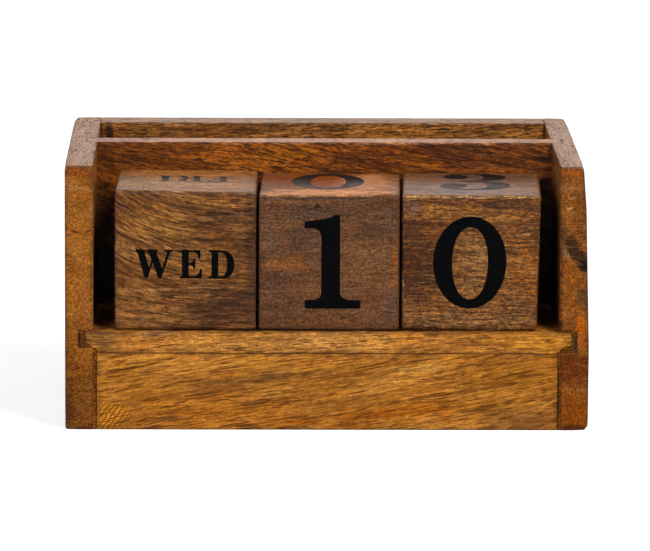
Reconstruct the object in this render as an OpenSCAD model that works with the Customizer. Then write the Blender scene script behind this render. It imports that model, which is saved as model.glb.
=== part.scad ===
// Perpetual desk calendar: a wooden case with three numbered blocks on a shelf
// and an open letter slot behind them.
//
// Frame: +X to the right and +Z up as seen from the front, +Y to the back.
// The origin is on the desk, under the middle of the case.

/* [Weekday block] */
// Width of the weekday block
weekday_w = 50.3; // [40:0.1:60]
// Height of the weekday block
weekday_h = 50.4; // [42:0.1:60]

/* [Date blocks] */
// Width of the block with the tens of the date
tens_w = 50.1; // [40:0.1:60]
// Width of the block with the units of the date
units_w = 49.4; // [40:0.1:60]
// Height of both date blocks
date_h = 49.3; // [42:0.1:60]

/* [All blocks] */
// Depth of each block from front to back
block_d = 50; // [40:0.5:60]
// Radius of the worn edges of a block
block_edge_r = 1.2; // [0.5:0.1:3]
// Turn of the weekday block on the shelf, clockwise seen from above
weekday_turn = 0.8; // [-3:0.1:3]
// Turn of the block with the tens
tens_turn = 1.6; // [-3:0.1:3]
// Turn of the block with the units
units_turn = 1.9; // [-3:0.1:3]

/* [Bay for the blocks] */
// Finger gap between the left panel and the weekday block
left_finger_gap = 7.6; // [5:0.1:14]
// Finger gap between the units block and the right panel
right_finger_gap = 6.6; // [5:0.1:14]
// Least gap between two neighbouring blocks
block_gap = 0.8; // [0.6:0.1:4]
// Distance of the blocks' front middles behind the front of the shelf
block_setback = 3.5; // [0:0.1:8]
// Gap between the blocks and the divider
block_back_gap = 5.5; // [2:0.1:14]
// Height of the case above the tallest block
rim_h = 9.2; // [4:0.1:20]

/* [Side panels] */
// Thickness of the left panel
left_panel_t = 10; // [9:0.1:16]
// Thickness of the right panel at its top
right_panel_top_t = 8.1; // [7.5:0.1:10]
// Thickness of the right panel at its foot
right_panel_foot_t = 10.8; // [10.4:0.1:14]

/* [Front board and shelf] */
// Height of the front board
front_board_h = 27.7; // [22:0.1:40]
// Thickness of the front board
front_board_t = 10; // [6:0.1:16]
// Width of the packed joint at each end of the front board
end_joint_w = 1.2; // [0.6:0.1:2]
// Depth of the rebate in the right panel that takes its share of that joint
right_rebate_d = 1; // [0.2:0.1:1.5]
// Thickness of the shelf
shelf_t = 7.7; // [7:0.1:10]
// Thickness of the tongue at the left end of the shelf
left_tongue_t = 3.9; // [2.5:0.1:5.5]
// Thickness of the tongue at its right end
right_tongue_t = 4.8; // [2.5:0.1:5.5]
// Reach of the left tongue into its panel
left_tongue_l = 3.3; // [3:0.1:5.2]
// Reach of the right tongue into its panel
right_tongue_l = 4.7; // [3:0.1:5.2]
// Flat length under the left tongue, before the bevel
left_flat_l = 0.5; // [0.3:0.1:2.8]
// Flat length under the right tongue, before the bevel
right_flat_l = 2.2; // [0.3:0.1:2.8]
// Run of the bevel under the left end of the shelf
left_bevel_l = 5.8; // [1:0.1:8]
// Run of the bevel under the right end of the shelf
right_bevel_l = 3; // [1:0.1:8]
// Gap between a tongue and the end of its groove
groove_end_gap = 2; // [0.2:0.1:2.2]
// Gap between the top of the shelf and the roof of its grooves
groove_top_gap = 0.6; // [0.2:0.1:1.5]
// Least gap between a bevel and the lower lip of its groove
groove_lip_gap = 0.2; // [0.1:0.05:1]

/* [Divider and back] */
// Thickness of the divider
divider_t = 10.5; // [6:0.1:14]
// Reach of the divider's ends into the side panels
divider_tongue_l = 3.9; // [2:0.1:4.8]
// Clear depth of the letter slot
slot_d = 39.5; // [20:0.5:80]
// Thickness of the back panel
back_panel_t = 14; // [8:0.1:18]
// Thickness of the bottom board
bottom_board_t = 6; // [5:0.1:10]

/* [Finish of the case] */
// Radius sanded on the outer edges of the side panels
side_edge_r = 1.6; // [0.5:0.1:3]
// Radius sanded along the front and back edges of the top and the foot
face_edge_r = 0.6; // [0.3:0.1:2]
// Clearance round a board that is let into a groove
groove_fit = 0.1; // [0.05:0.05:0.3]

/* [Brads] */
// Diameter of a brad's shank
brad_d = 1.4; // [1:0.1:1.6]
// Length of a brad
brad_l = 22; // [18:0.5:30]
// Diameter of a brad's head
brad_head_d = 2.4; // [2:0.1:3]
// Thickness of a brad's head
brad_head_t = 0.8; // [0.5:0.1:1.5]
// Depth of a brad's head below the face of the panel
brad_sink = 0.6; // [0.2:0.1:1.5]
// Clearance round a brad in its hole
brad_fit = 0.03; // [0.01:0.01:0.1]

/* [Hidden] */
$fn = 48;

// Heights above the desk
shelf_top = front_board_h + shelf_t;
case_h = shelf_top + max(weekday_h, date_h) + rim_h;
groove_top = shelf_top + groove_top_gap;

// Widths, from left to right
// How far a turned block's back stands to the right of its front
function swing(turn) = block_d * sin(turn);
// The gap between the fronts of two blocks, wider where their backs close up
function front_gap(left_turn, right_turn) = block_gap + max(0, swing(left_turn) - swing(right_turn));
tens_gap = front_gap(weekday_turn, tens_turn);
units_gap = front_gap(tens_turn, units_turn);
blocks_w = weekday_w + tens_gap + tens_w + units_gap + units_w;
bay_w = left_finger_gap + blocks_w + right_finger_gap;
case_w = left_panel_t + bay_w + right_panel_foot_t;
left_x = -case_w / 2;
bay_left = left_x + left_panel_t;
bay_right = bay_left + bay_w;
right_x = bay_right + right_panel_foot_t;
// Lean of the right panel's outer face from upright
lean = atan((right_panel_foot_t - right_panel_top_t) / case_h);

// Depths, from front to back
bay_d = block_setback + block_d + block_back_gap;
case_d = bay_d + divider_t + slot_d + back_panel_t;
front_y = -case_d / 2;
divider_y = front_y + bay_d;
slot_y = divider_y + divider_t;
back_face_y = slot_y + slot_d;
back_y = back_face_y + back_panel_t;

// Left ends of the three blocks' fronts
weekday_x = bay_left + left_finger_gap;
tens_x = weekday_x + weekday_w + tens_gap;
units_x = tens_x + tens_w + units_gap;

// Reach of a cut past the face it opens
over = 1;
// Length that reaches past the case in any direction
beyond = 2 * (case_w + case_h + case_d);
// Length of a brad's point, and its diameter at the very end
brad_tip_l = 2 * brad_d;
brad_tip_d = brad_d / 4;
// Heights of the brads into the front board and the back panel, as shares of each board
front_brad_shares = [0.28, 0.72];
back_brad_shares = [0.16, 0.5, 0.84];
// Places of the brads along the bottom board, as shares of its depth
bottom_brad_shares = [0.25, 0.75];

// Wood colours
dark_panel = [0.50, 0.29, 0.12];
honey_board = [0.72, 0.48, 0.22];
shelf_honey = [0.68, 0.44, 0.20];
red_brown = [0.42, 0.23, 0.11];
block_brown = [0.47, 0.30, 0.18];
inner_brown = [0.55, 0.36, 0.18];
putty_brown = [0.23, 0.15, 0.10];
brad_grey = [0.55, 0.55, 0.56];

// A box between two corners
module box(low, high) {
    translate(low) cube(high - low);
}

// A flat rectangle from the origin, with round corners
module round_rect(w, h, r) {
    translate([r, 0]) square([w - 2 * r, h]);
    translate([0, r]) square([w, h - 2 * r]);
    for (x = [r, w - r], y = [r, h - r]) {
        translate([x, y]) circle(r);
    }
}

// A block whose twelve edges are worn round
module worn_block(w, d, h, r) {
    intersection() {
        linear_extrude(h) round_rect(w, d, r);
        translate([0, d, 0]) rotate([90, 0, 0]) linear_extrude(d) round_rect(w, h, r);
        rotate([90, 0, 90]) linear_extrude(w) round_rect(d, h, r);
    }
}

// The two ends of the shelf: side is -1 for the left end and 1 for the right one
function bay_face(side) = side < 0 ? bay_left : bay_right;
function tongue_l(side) = side < 0 ? left_tongue_l : right_tongue_l;
function tongue_t(side) = side < 0 ? left_tongue_t : right_tongue_t;
function flat_l(side) = side < 0 ? left_flat_l : right_flat_l;
function bevel_l(side) = side < 0 ? left_bevel_l : right_bevel_l;

// How far an end of the shelf hangs below its top where it passes the panel's inner face
function bevel_drop(side) = tongue_t(side)
    + (shelf_t - tongue_t(side)) * max(0, min(1, (tongue_l(side) - flat_l(side)) / bevel_l(side)));

// The groove round that end
function groove_d(side) = tongue_l(side) + groove_end_gap;
function groove_bottom(side) = shelf_top - bevel_drop(side) - groove_lip_gap;

// The upright face of a side panel that the joint of the front board ends at
function joint_face(side) = side < 0 ? bay_left : bay_right + right_rebate_d;

// All that lies left of the right panel's leaning outer face, seen from the
// front, with that face rounded into the top and the foot
module leaning_outline() {
    foot_s = side_edge_r * (1 + sin(lean)) / cos(lean);
    top_s = (case_h - side_edge_r * (1 - sin(lean))) / cos(lean);
    translate([right_x, 0]) rotate(lean) {
        translate([-beyond, -beyond]) square([beyond - side_edge_r, 2 * beyond]);
        translate([-2 * side_edge_r, foot_s]) square([2 * side_edge_r, top_s - foot_s]);
        for (s = [foot_s, top_s]) {
            translate([-side_edge_r, s]) circle(side_edge_r);
        }
    }
}

// The space of the whole case, whose outer edges were sanded round after its boards were joined
module sanded_case() {
    intersection() {
        translate([0, back_y, 0]) rotate([90, 0, 0]) linear_extrude(case_d) leaning_outline();
        translate([left_x, back_y, 0]) rotate([90, 0, 0])
            linear_extrude(case_d) round_rect(beyond, case_h, side_edge_r);
        translate([left_x, front_y, 0]) linear_extrude(case_h) round_rect(beyond, case_d, side_edge_r);
        translate([right_x, front_y, 0]) rotate([0, -lean, 0]) translate([-beyond, 0, -beyond])
            linear_extrude(2 * beyond) round_rect(beyond, case_d, side_edge_r);
        translate([left_x - over, front_y, 0]) rotate([90, 0, 90])
            linear_extrude(case_w + 2 * over) round_rect(case_d, case_h, face_edge_r);
    }
}

// Front view of the shelf, with a bevelled tongue at each end
module shelf_outline() {
    left_end = bay_left - left_tongue_l;
    right_end = bay_right + right_tongue_l;
    polygon([
        [left_end, shelf_top],
        [left_end, shelf_top - left_tongue_t],
        [left_end + left_flat_l, shelf_top - left_tongue_t],
        [left_end + left_flat_l + left_bevel_l, front_board_h],
        [right_end - right_flat_l - right_bevel_l, front_board_h],
        [right_end - right_flat_l, shelf_top - right_tongue_t],
        [right_end, shelf_top - right_tongue_t],
        [right_end, shelf_top]
    ]);
}

// A shelf groove in a side panel, from the front of the case to the divider.
// side is -1 for the left panel and 1 for the right one.
module shelf_groove(side) {
    face = bay_face(side);
    translate([side < 0 ? face - groove_d(side) : face - over, front_y - over, groove_bottom(side)])
        cube([groove_d(side) + over, bay_d + over + groove_fit, groove_top - groove_bottom(side)]);
}

// The shallow rebate in the right panel, from the foot up to the shelf groove,
// that takes the end of the front board
module front_rebate() {
    box([bay_right - over, front_y - over, -over],
        [joint_face(1), front_y + front_board_t, groove_bottom(1) + over / 2]);
}

// The upright groove in a side panel that holds one end of the divider
module divider_groove(side) {
    face = bay_face(side);
    reach = divider_tongue_l + groove_fit;
    translate([side < 0 ? face - reach : face - over, divider_y - groove_fit, bottom_board_t])
        cube([reach + over, divider_t + 2 * groove_fit, case_h - bottom_board_t + over]);
}

// One brad along +X from the face of its head, grown by gap all round
module brad(gap = 0) {
    rotate([0, 90, 0]) {
        translate([0, 0, -gap]) cylinder(d = brad_head_d + 2 * gap, h = brad_head_t + 2 * gap);
        cylinder(d = brad_d + 2 * gap, h = brad_l - brad_tip_l);
        translate([0, 0, brad_l - brad_tip_l])
            cylinder(d1 = brad_d + 2 * gap, d2 = brad_tip_d + 2 * gap, h = brad_tip_l + gap);
    }
}

// Y and Z of each brad through one side panel
function brad_places() = concat(
    [for (s = front_brad_shares) [front_y + front_board_t / 2, s * front_board_h]],
    [for (s = back_brad_shares) [back_y - back_panel_t / 2, s * case_h]],
    [for (s = bottom_brad_shares)
        [front_y + front_board_t + s * (back_face_y - front_y - front_board_t), bottom_board_t / 2]]
);

// X of the outer face of a side panel at a height
function outer_x(side, z) =
    side < 0 ? left_x : right_x - z * tan(lean);

// The brads through one side panel, grown by gap all round
module side_brads(side, gap = 0) {
    for (p = brad_places()) {
        translate([outer_x(side, p[1]) - side * brad_sink, p[0], p[1]])
            rotate([0, 0, side < 0 ? 0 : 180]) brad(gap);
    }
}

// The holes of one side's brads, open to the outside over each head
module brad_holes(side) {
    side_brads(side, brad_fit);
    for (p = brad_places()) {
        translate([outer_x(side, p[1]) - side * brad_sink, p[0], p[1]])
            rotate([0, side * 90, 0]) cylinder(d = brad_head_d + 2 * brad_fit, h = brad_sink + over);
    }
}

module left_side_panel() {
    color(dark_panel) difference() {
        intersection() {
            sanded_case();
            box([left_x - over, front_y, 0], [bay_left, back_y, case_h]);
        }
        shelf_groove(-1);
        divider_groove(-1);
        brad_holes(-1);
    }
}

module right_side_panel() {
    color(dark_panel) difference() {
        intersection() {
            sanded_case();
            box([bay_right, front_y, 0], [right_x + over, back_y, case_h]);
        }
        shelf_groove(1);
        front_rebate();
        divider_groove(1);
        brad_holes(1);
    }
}

module front_board() {
    color(honey_board) difference() {
        intersection() {
            sanded_case();
            box([joint_face(-1) + end_joint_w, front_y, 0],
                [joint_face(1) - end_joint_w, front_y + front_board_t, front_board_h]);
        }
        brad_holes(-1);
        brad_holes(1);
    }
}

module block_shelf() {
    color(shelf_honey) translate([0, divider_y, 0]) rotate([90, 0, 0]) linear_extrude(bay_d) shelf_outline();
}

// Front view of the putty at one end of the front board: it packs the shelf
// groove round the tongue, the space under the bevel and the upright joint
module filler_outline(side) {
    face = bay_face(side);
    board_end = joint_face(side) - side * end_joint_w;
    bevel_end = face + side * (tongue_l(side) - flat_l(side) - bevel_l(side));
    // The bay's side of the putty, above the front board
    inner_end = side < 0 ? max(board_end, bevel_end) : min(board_end, bevel_end);
    difference() {
        union() {
            translate([side < 0 ? face - groove_d(side) : face, groove_bottom(side)])
                square([groove_d(side), groove_top - groove_bottom(side)]);
            translate([min(board_end, joint_face(side)), 0]) square([end_joint_w, groove_bottom(side)]);
            translate([min(inner_end, face), front_board_h]) square([abs(face - inner_end), shelf_t]);
        }
        shelf_outline();
    }
}

module joint_filler(side) {
    color(putty_brown) difference() {
        intersection() {
            sanded_case();
            translate([0, front_y + front_board_t, 0]) rotate([90, 0, 0])
                linear_extrude(front_board_t) filler_outline(side);
        }
        brad_holes(side);
    }
}

module left_joint_filler() {
    joint_filler(-1);
}

module right_joint_filler() {
    joint_filler(1);
}

module divider() {
    color(red_brown)
        box([bay_left - divider_tongue_l, divider_y, bottom_board_t],
            [bay_right + divider_tongue_l, slot_y, case_h]);
}

module back_panel() {
    color(inner_brown) difference() {
        intersection() {
            sanded_case();
            box([bay_left, back_face_y, 0], [bay_right, back_y, case_h]);
        }
        brad_holes(-1);
        brad_holes(1);
    }
}

module bottom_board() {
    color(inner_brown) difference() {
        box([bay_left, front_y + front_board_t, 0], [bay_right, back_face_y, bottom_board_t]);
        brad_holes(-1);
        brad_holes(1);
    }
}

module left_brads() {
    color(brad_grey) side_brads(-1);
}

module right_brads() {
    color(brad_grey) side_brads(1);
}

// A block standing on the shelf with the left end of its front at x, turned
// about the middle of that front
module block_at(x, w, h, turn) {
    color(block_brown) translate([x + w / 2, front_y + block_setback, shelf_top])
        rotate(-turn) translate([-w / 2, 0, 0]) worn_block(w, block_d, h, block_edge_r);
}

module weekday_block() {
    block_at(weekday_x, weekday_w, weekday_h, weekday_turn);
}

module tens_block() {
    block_at(tens_x, tens_w, date_h, tens_turn);
}

module units_block() {
    block_at(units_x, units_w, date_h, units_turn);
}

left_side_panel();
right_side_panel();
front_board();
block_shelf();
divider();
back_panel();
bottom_board();
left_joint_filler();
right_joint_filler();
left_brads();
right_brads();
weekday_block();
tens_block();
units_block();
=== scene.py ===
import itertools
import math

import bpy
import numpy as np
from mathutils import Matrix, Vector
from mathutils.geometry import tessellate_polygon


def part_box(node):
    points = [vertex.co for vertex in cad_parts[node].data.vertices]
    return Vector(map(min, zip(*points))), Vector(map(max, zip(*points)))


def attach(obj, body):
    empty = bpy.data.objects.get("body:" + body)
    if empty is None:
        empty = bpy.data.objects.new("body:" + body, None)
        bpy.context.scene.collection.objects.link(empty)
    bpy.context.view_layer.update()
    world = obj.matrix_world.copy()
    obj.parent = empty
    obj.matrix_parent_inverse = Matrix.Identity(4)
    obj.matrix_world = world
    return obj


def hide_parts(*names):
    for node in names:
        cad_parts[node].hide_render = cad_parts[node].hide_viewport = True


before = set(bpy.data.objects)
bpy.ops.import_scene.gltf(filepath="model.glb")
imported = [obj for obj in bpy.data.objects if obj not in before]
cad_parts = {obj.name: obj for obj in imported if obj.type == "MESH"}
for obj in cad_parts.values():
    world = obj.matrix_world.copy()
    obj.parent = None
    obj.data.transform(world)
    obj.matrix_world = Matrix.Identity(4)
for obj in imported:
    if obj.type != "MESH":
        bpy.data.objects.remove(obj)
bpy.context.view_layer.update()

MM = 0.001

# ---- sizes taken from the frame

left_low, left_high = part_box("left_side_panel")
right_low, right_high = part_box("right_side_panel")
shelf_low, shelf_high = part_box("block_shelf")
divider_low, divider_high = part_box("divider")
putty_low, putty_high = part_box("left_joint_filler")
right_putty_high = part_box("right_joint_filler")[1]

BAY_LEFT = left_high.x
BAY_RIGHT = right_low.x
CASE_HEIGHT = left_high.z

# Sizes that no node's box shows
LEFT_TONGUE = (3.9 * MM, 0.5 * MM, 5.8 * MM)    # thickness, flat length and bevel run, left end
RIGHT_TONGUE = (4.8 * MM, 2.2 * MM, 3.0 * MM)   # the same at the shelf's right end
REBATE_D = 1.0 * MM             # depth of the right panel's rebate for the front board's end
PLANED_FROM, PLANED_TO, ROUNDED_TO = 30, 80, 95     # heights in mm on the right panel, see the next two
PANEL_PLANED = 0.13             # share of its thickness lost between the first and the second
PANEL_ROUNDED = 0.10            # share lost from there to the third
BRAD_HEAD_R = 1.23 * MM         # radius of the holes over the brads' heads
BRAD_SINK = 0.62 * MM           # depth of those holes
GROOVE_CLEAR = 0.04 * MM        # clearance round the divider's ends
OVER = 1 * MM                   # how far a cutter reaches past the face that it cuts
CORE_IN = (3 * MM, 3 * MM, 3 * MM)      # chips and waves sink towards the middle, this far inside
BOARD_STEP = 1.2 * MM           # spacing of the boards' grid lines
BLOCK_STEP = 0.9 * MM           # the same for the blocks
BLOCK_EDGE_R = 1.2 * MM         # radius of the blocks' worn edges

# Looks of the wood
DARK_LINE = (0.42, 0.34, 0.28)  # what a dark line of the grain does to the colour
END_GRAIN = (0.55, 0.9)         # how far a face looks along the grain where end grain sets in and is full
SEAM = (0.34, 0.1)              # distances in mm from an edge where a seam's dark line sets in and is full
WORN_BARE = 0.85                # how bare a worn edge is
WORN_DULL = 0.25                # how much rougher bare wood and open pores are
PORE_BUMP = 0.1 * MM            # depth of the figure that the light shows

# Shape of the worn wood
ROUND_NOISE, CHIP_NOISE, WAVE_NOISE = 90.0, 330.0, 45.0     # scales of its noises, in waves per metre
CHIP_REACH = (1.6 * MM, 0.2 * MM)       # distances from an edge where chips set in and are full

# Ink on the tops, paler towards their front edges: partly worn thin by hands, partly painted sheen
RUBBED_AND_SHEEN = (-20, -36)             # places in mm along Y where that sets in and is full
TOP_FACING = (0.6, 0.9)         # how far a face looks up where that sets in and is full

# Turn of each block on the shelf in degrees, clockwise seen from above
BLOCK_TURNS = {"weekday_block": 0.8, "tens_block": 1.6, "units_block": 1.9}

# How far each block's top falls away, in mm: front left, front right, back left and back right
TOP_FALLS = {"weekday_block": (0.0, 0.8, 0.0, 0.3), "tens_block": (0.6, 0.0, 0.1, 0.4),
             "units_block": (0.5, 0.5, 0.0, 0.0)}

# How far the right side of a block's foot is drawn in, in mm
FOOT_DRAWN_IN = {"weekday_block": 0.0, "tens_block": 0.0, "units_block": 1.1}


# ---- nodes

class Value:
    """One output of a node. Plain arithmetic on it adds the nodes that work the result out."""

    def __init__(self, n, socket):
        self.n = n
        self.socket = socket

    def work(self, operation, a, b):
        if self.socket.type not in ("VECTOR", "RGBA"):
            return self.n.math(operation, a, b)
        if isinstance(b, (float, int)):
            return self.n.add("ShaderNodeVectorMath", {0: a, "Scale": b}, operation="SCALE")
        return self.n.vector(operation, a, b)

    def __add__(self, other):
        return self.work("ADD", self, other)

    def __sub__(self, other):
        return self.work("SUBTRACT", self, other)

    def __rsub__(self, other):
        return self.work("SUBTRACT", other, self)

    def __mul__(self, other):
        return self.work("MULTIPLY", self, other)

    def __truediv__(self, other):
        return self.work("DIVIDE", self, other)

    def __rtruediv__(self, other):
        return self.work("DIVIDE", other, self)


class Nodes:
    """Adds nodes to one tree, with their inputs linked or set in the same call."""

    def __init__(self, tree):
        self.tree = tree

    def feed(self, socket, value):
        if isinstance(value, Value):
            self.tree.links.new(value.socket, socket)
        else:
            socket.default_value = value

    def outputs(self, node):
        return {socket.name: Value(self, socket) for socket in node.outputs}

    def add(self, kind, inputs, out=0, **settings):
        node = self.tree.nodes.new(kind)
        for key, value in settings.items():
            setattr(node, key, value)
        for key, value in inputs.items():
            self.feed(node.inputs[key], value)
        return Value(self, node.outputs[out])

    def math(self, operation, a, b=0.0, clamp=False):
        return self.add("ShaderNodeMath", {0: a, 1: b}, operation=operation, use_clamp=clamp)

    def vector(self, operation, a, b=(0.0, 0.0, 0.0), out=0):
        return self.add("ShaderNodeVectorMath", {0: a, 1: b}, out, operation=operation)

    def scaled(self, a, factor):
        return self.add("ShaderNodeVectorMath", {0: a, "Scale": factor}, operation="SCALE")

    def parts(self, vector):
        return list(self.outputs(self.add("ShaderNodeSeparateXYZ", {0: vector}).socket.node).values())

    def joined(self, x, y, z):
        return self.add("ShaderNodeCombineXYZ", {0: x, 1: y, 2: z})

    def turned(self, vector, angle, axis, centre=(0.0, 0.0, 0.0)):
        return self.add("ShaderNodeVectorRotate", {"Vector": vector, "Center": centre, "Angle": angle},
                        rotation_type=axis)

    def ramp(self, value, low, high, to_low=0.0, to_high=1.0, kind="SMOOTHSTEP"):
        return self.add("ShaderNodeMapRange", {"Value": value, "From Min": low, "From Max": high,
                        "To Min": to_low, "To Max": to_high}, interpolation_type=kind)

    def straight(self, value, low, high, to_low=0.0, to_high=1.0):
        return self.ramp(value, low, high, to_low, to_high, "LINEAR")

    def blend(self, factor, a, b):
        return self.add("ShaderNodeMix", {0: factor, 6: a, 7: b}, 2, data_type="RGBA")

    def noise(self, vector, scale, detail=2.0, roughness=0.5, w=None, out=0):
        inputs = {"Vector": vector, "Scale": scale, "Detail": detail, "Roughness": roughness}
        if w is None:
            return self.add("ShaderNodeTexNoise", inputs, out)
        return self.add("ShaderNodeTexNoise", {**inputs, "W": w}, out, noise_dimensions="4D")

    def bump(self, height, strength, distance):
        return self.add("ShaderNodeBump", {"Strength": strength, "Distance": distance, "Height": height})

    def fill(self, sockets, **values):
        """Feeds sockets by their names, with _ for a space."""
        for key, value in values.items():
            self.feed(sockets[key.replace("_", " ")], value)

    def group(self, tree, **values):
        node = self.tree.nodes.new("ShaderNodeGroup")
        node.node_tree = tree
        self.fill(node.inputs, **values)
        return self.outputs(node)


def new_group(name, kind, inputs, outputs):
    """An empty node group. Each input has its default, or its type where that is a word."""
    group = bpy.data.node_groups.new(name, kind)
    for socket, default in inputs.items():
        plain = "Vector" if isinstance(default, tuple) else "Float"
        word = default if isinstance(default, str) else plain
        made = group.interface.new_socket(name=socket, in_out="INPUT", socket_type="NodeSocket" + word)
        if word == plain:
            made.default_value = default
    for socket in outputs:
        word = "Geometry" if socket == "Geometry" else "Float"
        group.interface.new_socket(name=socket, in_out="OUTPUT", socket_type="NodeSocket" + word)
    n = Nodes(group)
    given = n.outputs(group.nodes.new("NodeGroupInput"))
    return group, n, given, group.nodes.new("NodeGroupOutput").inputs


# ---- shader groups, all in millimetres

HERE = (0.0, 0.0, 0.0)


def make_wood_figure():
    """Figure of a board whose grain runs along X."""
    group, n, given, result = new_group("wood figure", "ShaderNodeTree", {
        "Place": HERE, "seed": 0.0, "band": 6.0, "wander": 3.0, "dash length": 4.0, "dash width": 0.6,
        "dash share": 0.5, "hair length": 2.4, "grit scale": 1.25},
        ("Bands", "Rings", "Streaks", "Hairs", "Lines", "Dashes", "Grit", "Clouds"))
    place = given["Place"] + n.scaled((17.0, 31.0, 53.0), given["seed"])
    n.fill(result, Grit=n.straight(n.noise(place, given["grit scale"], 2.0, 0.7), 0.35, 0.65))
    # The grain wanders sideways, slowly along the board
    drift = n.noise(place * (0.022, 0.035, 0.035), 1.0, 2.0, out=1)
    drift = (drift - (0.5, 0.5, 0.5)) * (0.0, 4.0, 4.0)
    place = place + n.scaled(drift, given["wander"])
    across = 1.0 / given["band"]
    banded = place * n.joined(across * 0.09, across, across)
    n.fill(result, Bands=n.ramp(n.noise(banded, 1.0, 3.0, 0.6), 0.36, 0.64))
    # Growth rings are thin lines where a slow noise crosses its middle value
    crossing = n.math("ABSOLUTE", n.noise(banded * (0.9, 1.25, 1.25), 1.0, 2.0, 0.55) - 0.5)
    fading = n.noise(place * (0.03, 0.12, 0.12), 1.0, 2.0)
    n.fill(result, Rings=n.ramp(crossing, 0.035, 0.004) * n.ramp(fading, 0.38, 0.56))
    streaks = n.noise(place * (0.07, 0.95, 0.95), 1.0, 3.0, 0.65)
    n.fill(result, Streaks=n.straight(streaks, 0.41, 0.59))
    hairs = n.noise(place * n.joined(1.0 / given["hair length"], 1.7, 1.7), 1.0, 2.0, 0.65)
    n.fill(result, Hairs=n.straight(hairs, 0.38, 0.62))
    lines = n.noise(place * (0.10, 1.6, 1.6), 1.0, 1.0, 0.5)
    n.fill(result, Lines=n.ramp(lines, 0.56, 0.63))
    # Open pores show as short dark dashes, crowded in some places and rare in others
    thin = 0.75 / given["dash width"]
    dashes = n.noise(place * n.joined(0.8 / given["dash length"], thin, thin), 1.0, 1.0, 0.5)
    crowd = n.noise(place * (0.05, 0.16, 0.16), 1.0, 2.0, 0.5)
    start = 0.84 - given["dash share"] * 0.16
    n.fill(result, Dashes=n.ramp(dashes + crowd * 0.30, start, start + 0.04))
    clouds = n.noise(given["Place"] * (0.6, 1.0, 1.0), 0.085, 3.0, 0.6, w=given["seed"])
    n.fill(result, Clouds=n.ramp(clouds, 0.36, 0.64))
    return group


def make_edge_wear():
    """Masks for a board's edges: Worn is rubbed bare, Grime is stain gathered there."""
    group, n, given, result = new_group("edge wear", "ShaderNodeTree", {
        "Place": HERE, "Low": HERE, "High": HERE, "seed": 0.0, "wear reach": 0.9, "wear": 0.5,
        "grime reach": 3.0}, ("Edge", "Worn", "Grime"))
    place, seed = given["Place"], given["seed"]
    # The second smallest distance to the board's six planes is the way to its nearest edge
    gap = n.vector("MINIMUM", place - given["Low"], given["High"] - place)
    x, y, z = n.parts(n.vector("MAXIMUM", gap, HERE))
    least = n.math("MINIMUM", n.math("MINIMUM", x, y), z)
    most = n.math("MAXIMUM", n.math("MAXIMUM", x, y), z)
    edge = x + y + z - least - most
    n.fill(result, Edge=edge)
    near = n.math("SUBTRACT", 1.0, edge / given["wear reach"], clamp=True)
    patchy = n.noise(place, 0.13, 3.0, 0.65, w=seed)
    nibbled = n.noise(place, 1.3, 2.0, 0.7, w=seed)
    start = 1.42 - given["wear"] * 0.6
    worn = n.ramp(patchy * 0.9 + nibbled * 0.8 + near * 0.25, start, start + 0.15)
    n.fill(result, Worn=worn * n.ramp(near, 0.0, 0.3))
    fade = n.math("SUBTRACT", 1.0, edge / given["grime reach"], clamp=True)
    cloudy = n.ramp(n.noise(place, 0.14, 3.0, 0.6, w=seed), 0.38, 0.6)
    n.fill(result, Grime=n.math("POWER", fade, 1.5) * cloudy)
    return group


def make_scuffs():
    """Fine pale scratches left by sanding, along X."""
    group, n, given, result = new_group("scuffs", "ShaderNodeTree", {
        "Place": HERE, "Seed": 0.0, "Length": 6.0, "Width": 0.4}, ("Scuffs",))
    thin = 0.8 / given["Width"]
    lines = n.noise(given["Place"] * n.joined(0.8 / given["Length"], thin, thin), 1.0, 1.0, 0.5,
                    w=given["Seed"])
    zone = n.ramp(n.noise(given["Place"], 0.09, 2.0, w=given["Seed"]), 0.42, 0.6)
    n.fill(result, Scuffs=n.ramp(lines, 0.6, 0.7) * zone)
    return group


def make_oval_mark():
    """A ragged oval mark, turned about Y by Turn radians. Ragged is a noise round 0.5."""
    group, n, given, result = new_group("stain mark", "ShaderNodeTree", {
        "Place": HERE, "Centre": HERE, "Reach": (5.0, 15.0, 5.0), "Turn": 0.0, "Ragged": 0.5}, ("Mark",))
    away = n.turned(given["Place"] - given["Centre"], given["Turn"], "Y_AXIS")
    far = n.vector("LENGTH", n.vector("DIVIDE", away, given["Reach"]), out=1)
    n.fill(result, Mark=n.ramp(far + (given["Ragged"] - 0.5) * 2.2, 1.25, 0.45))
    return group


def make_ripples():
    """Wavy light and dark ripples, Pitch apart; Shade multiplies the colour."""
    group, n, given, result = new_group("ripples", "ShaderNodeTree", {
        "Place": HERE, "Turn": 0.0, "Pitch": 1.5, "Ragged": 0.5, "Strength": 0.3}, ("Shade",))
    height = n.parts(n.turned(given["Place"], given["Turn"], "Y_AXIS"))[2]
    wave = n.math("SINE", height * (2 * math.pi) / given["Pitch"] + given["Ragged"] * 12.0)
    n.fill(result, Shade=n.math("ADD", 1.0, wave * given["Strength"]))
    return group


WOOD_FIGURE = make_wood_figure()
EDGE_WEAR = make_edge_wear()
SCUFFS = make_scuffs()
OVAL_MARK = make_oval_mark()
RIPPLES = make_ripples()


# ---- materials

def start_material(name):
    """A new material, its node helper and its Principled shader."""
    material = bpy.data.materials.new(name)
    material.use_nodes = True
    return material, Nodes(material.node_tree), material.node_tree.nodes["Principled BSDF"]


def millimetres(n):
    """Place in millimetres and normal, both in the object's own coordinates."""
    coords = n.outputs(n.tree.nodes.new("ShaderNodeTexCoord"))
    return coords["Object"] * 1000.0, coords["Normal"]


def grey(n, value):
    """A vector or colour whose three parts are one value."""
    return n.joined(value, value, value)


def paint(thousandths):
    """A colour from its linear red, green and blue in thousandths."""
    return (*(part / 1000 for part in thousandths), 1.0)


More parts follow.
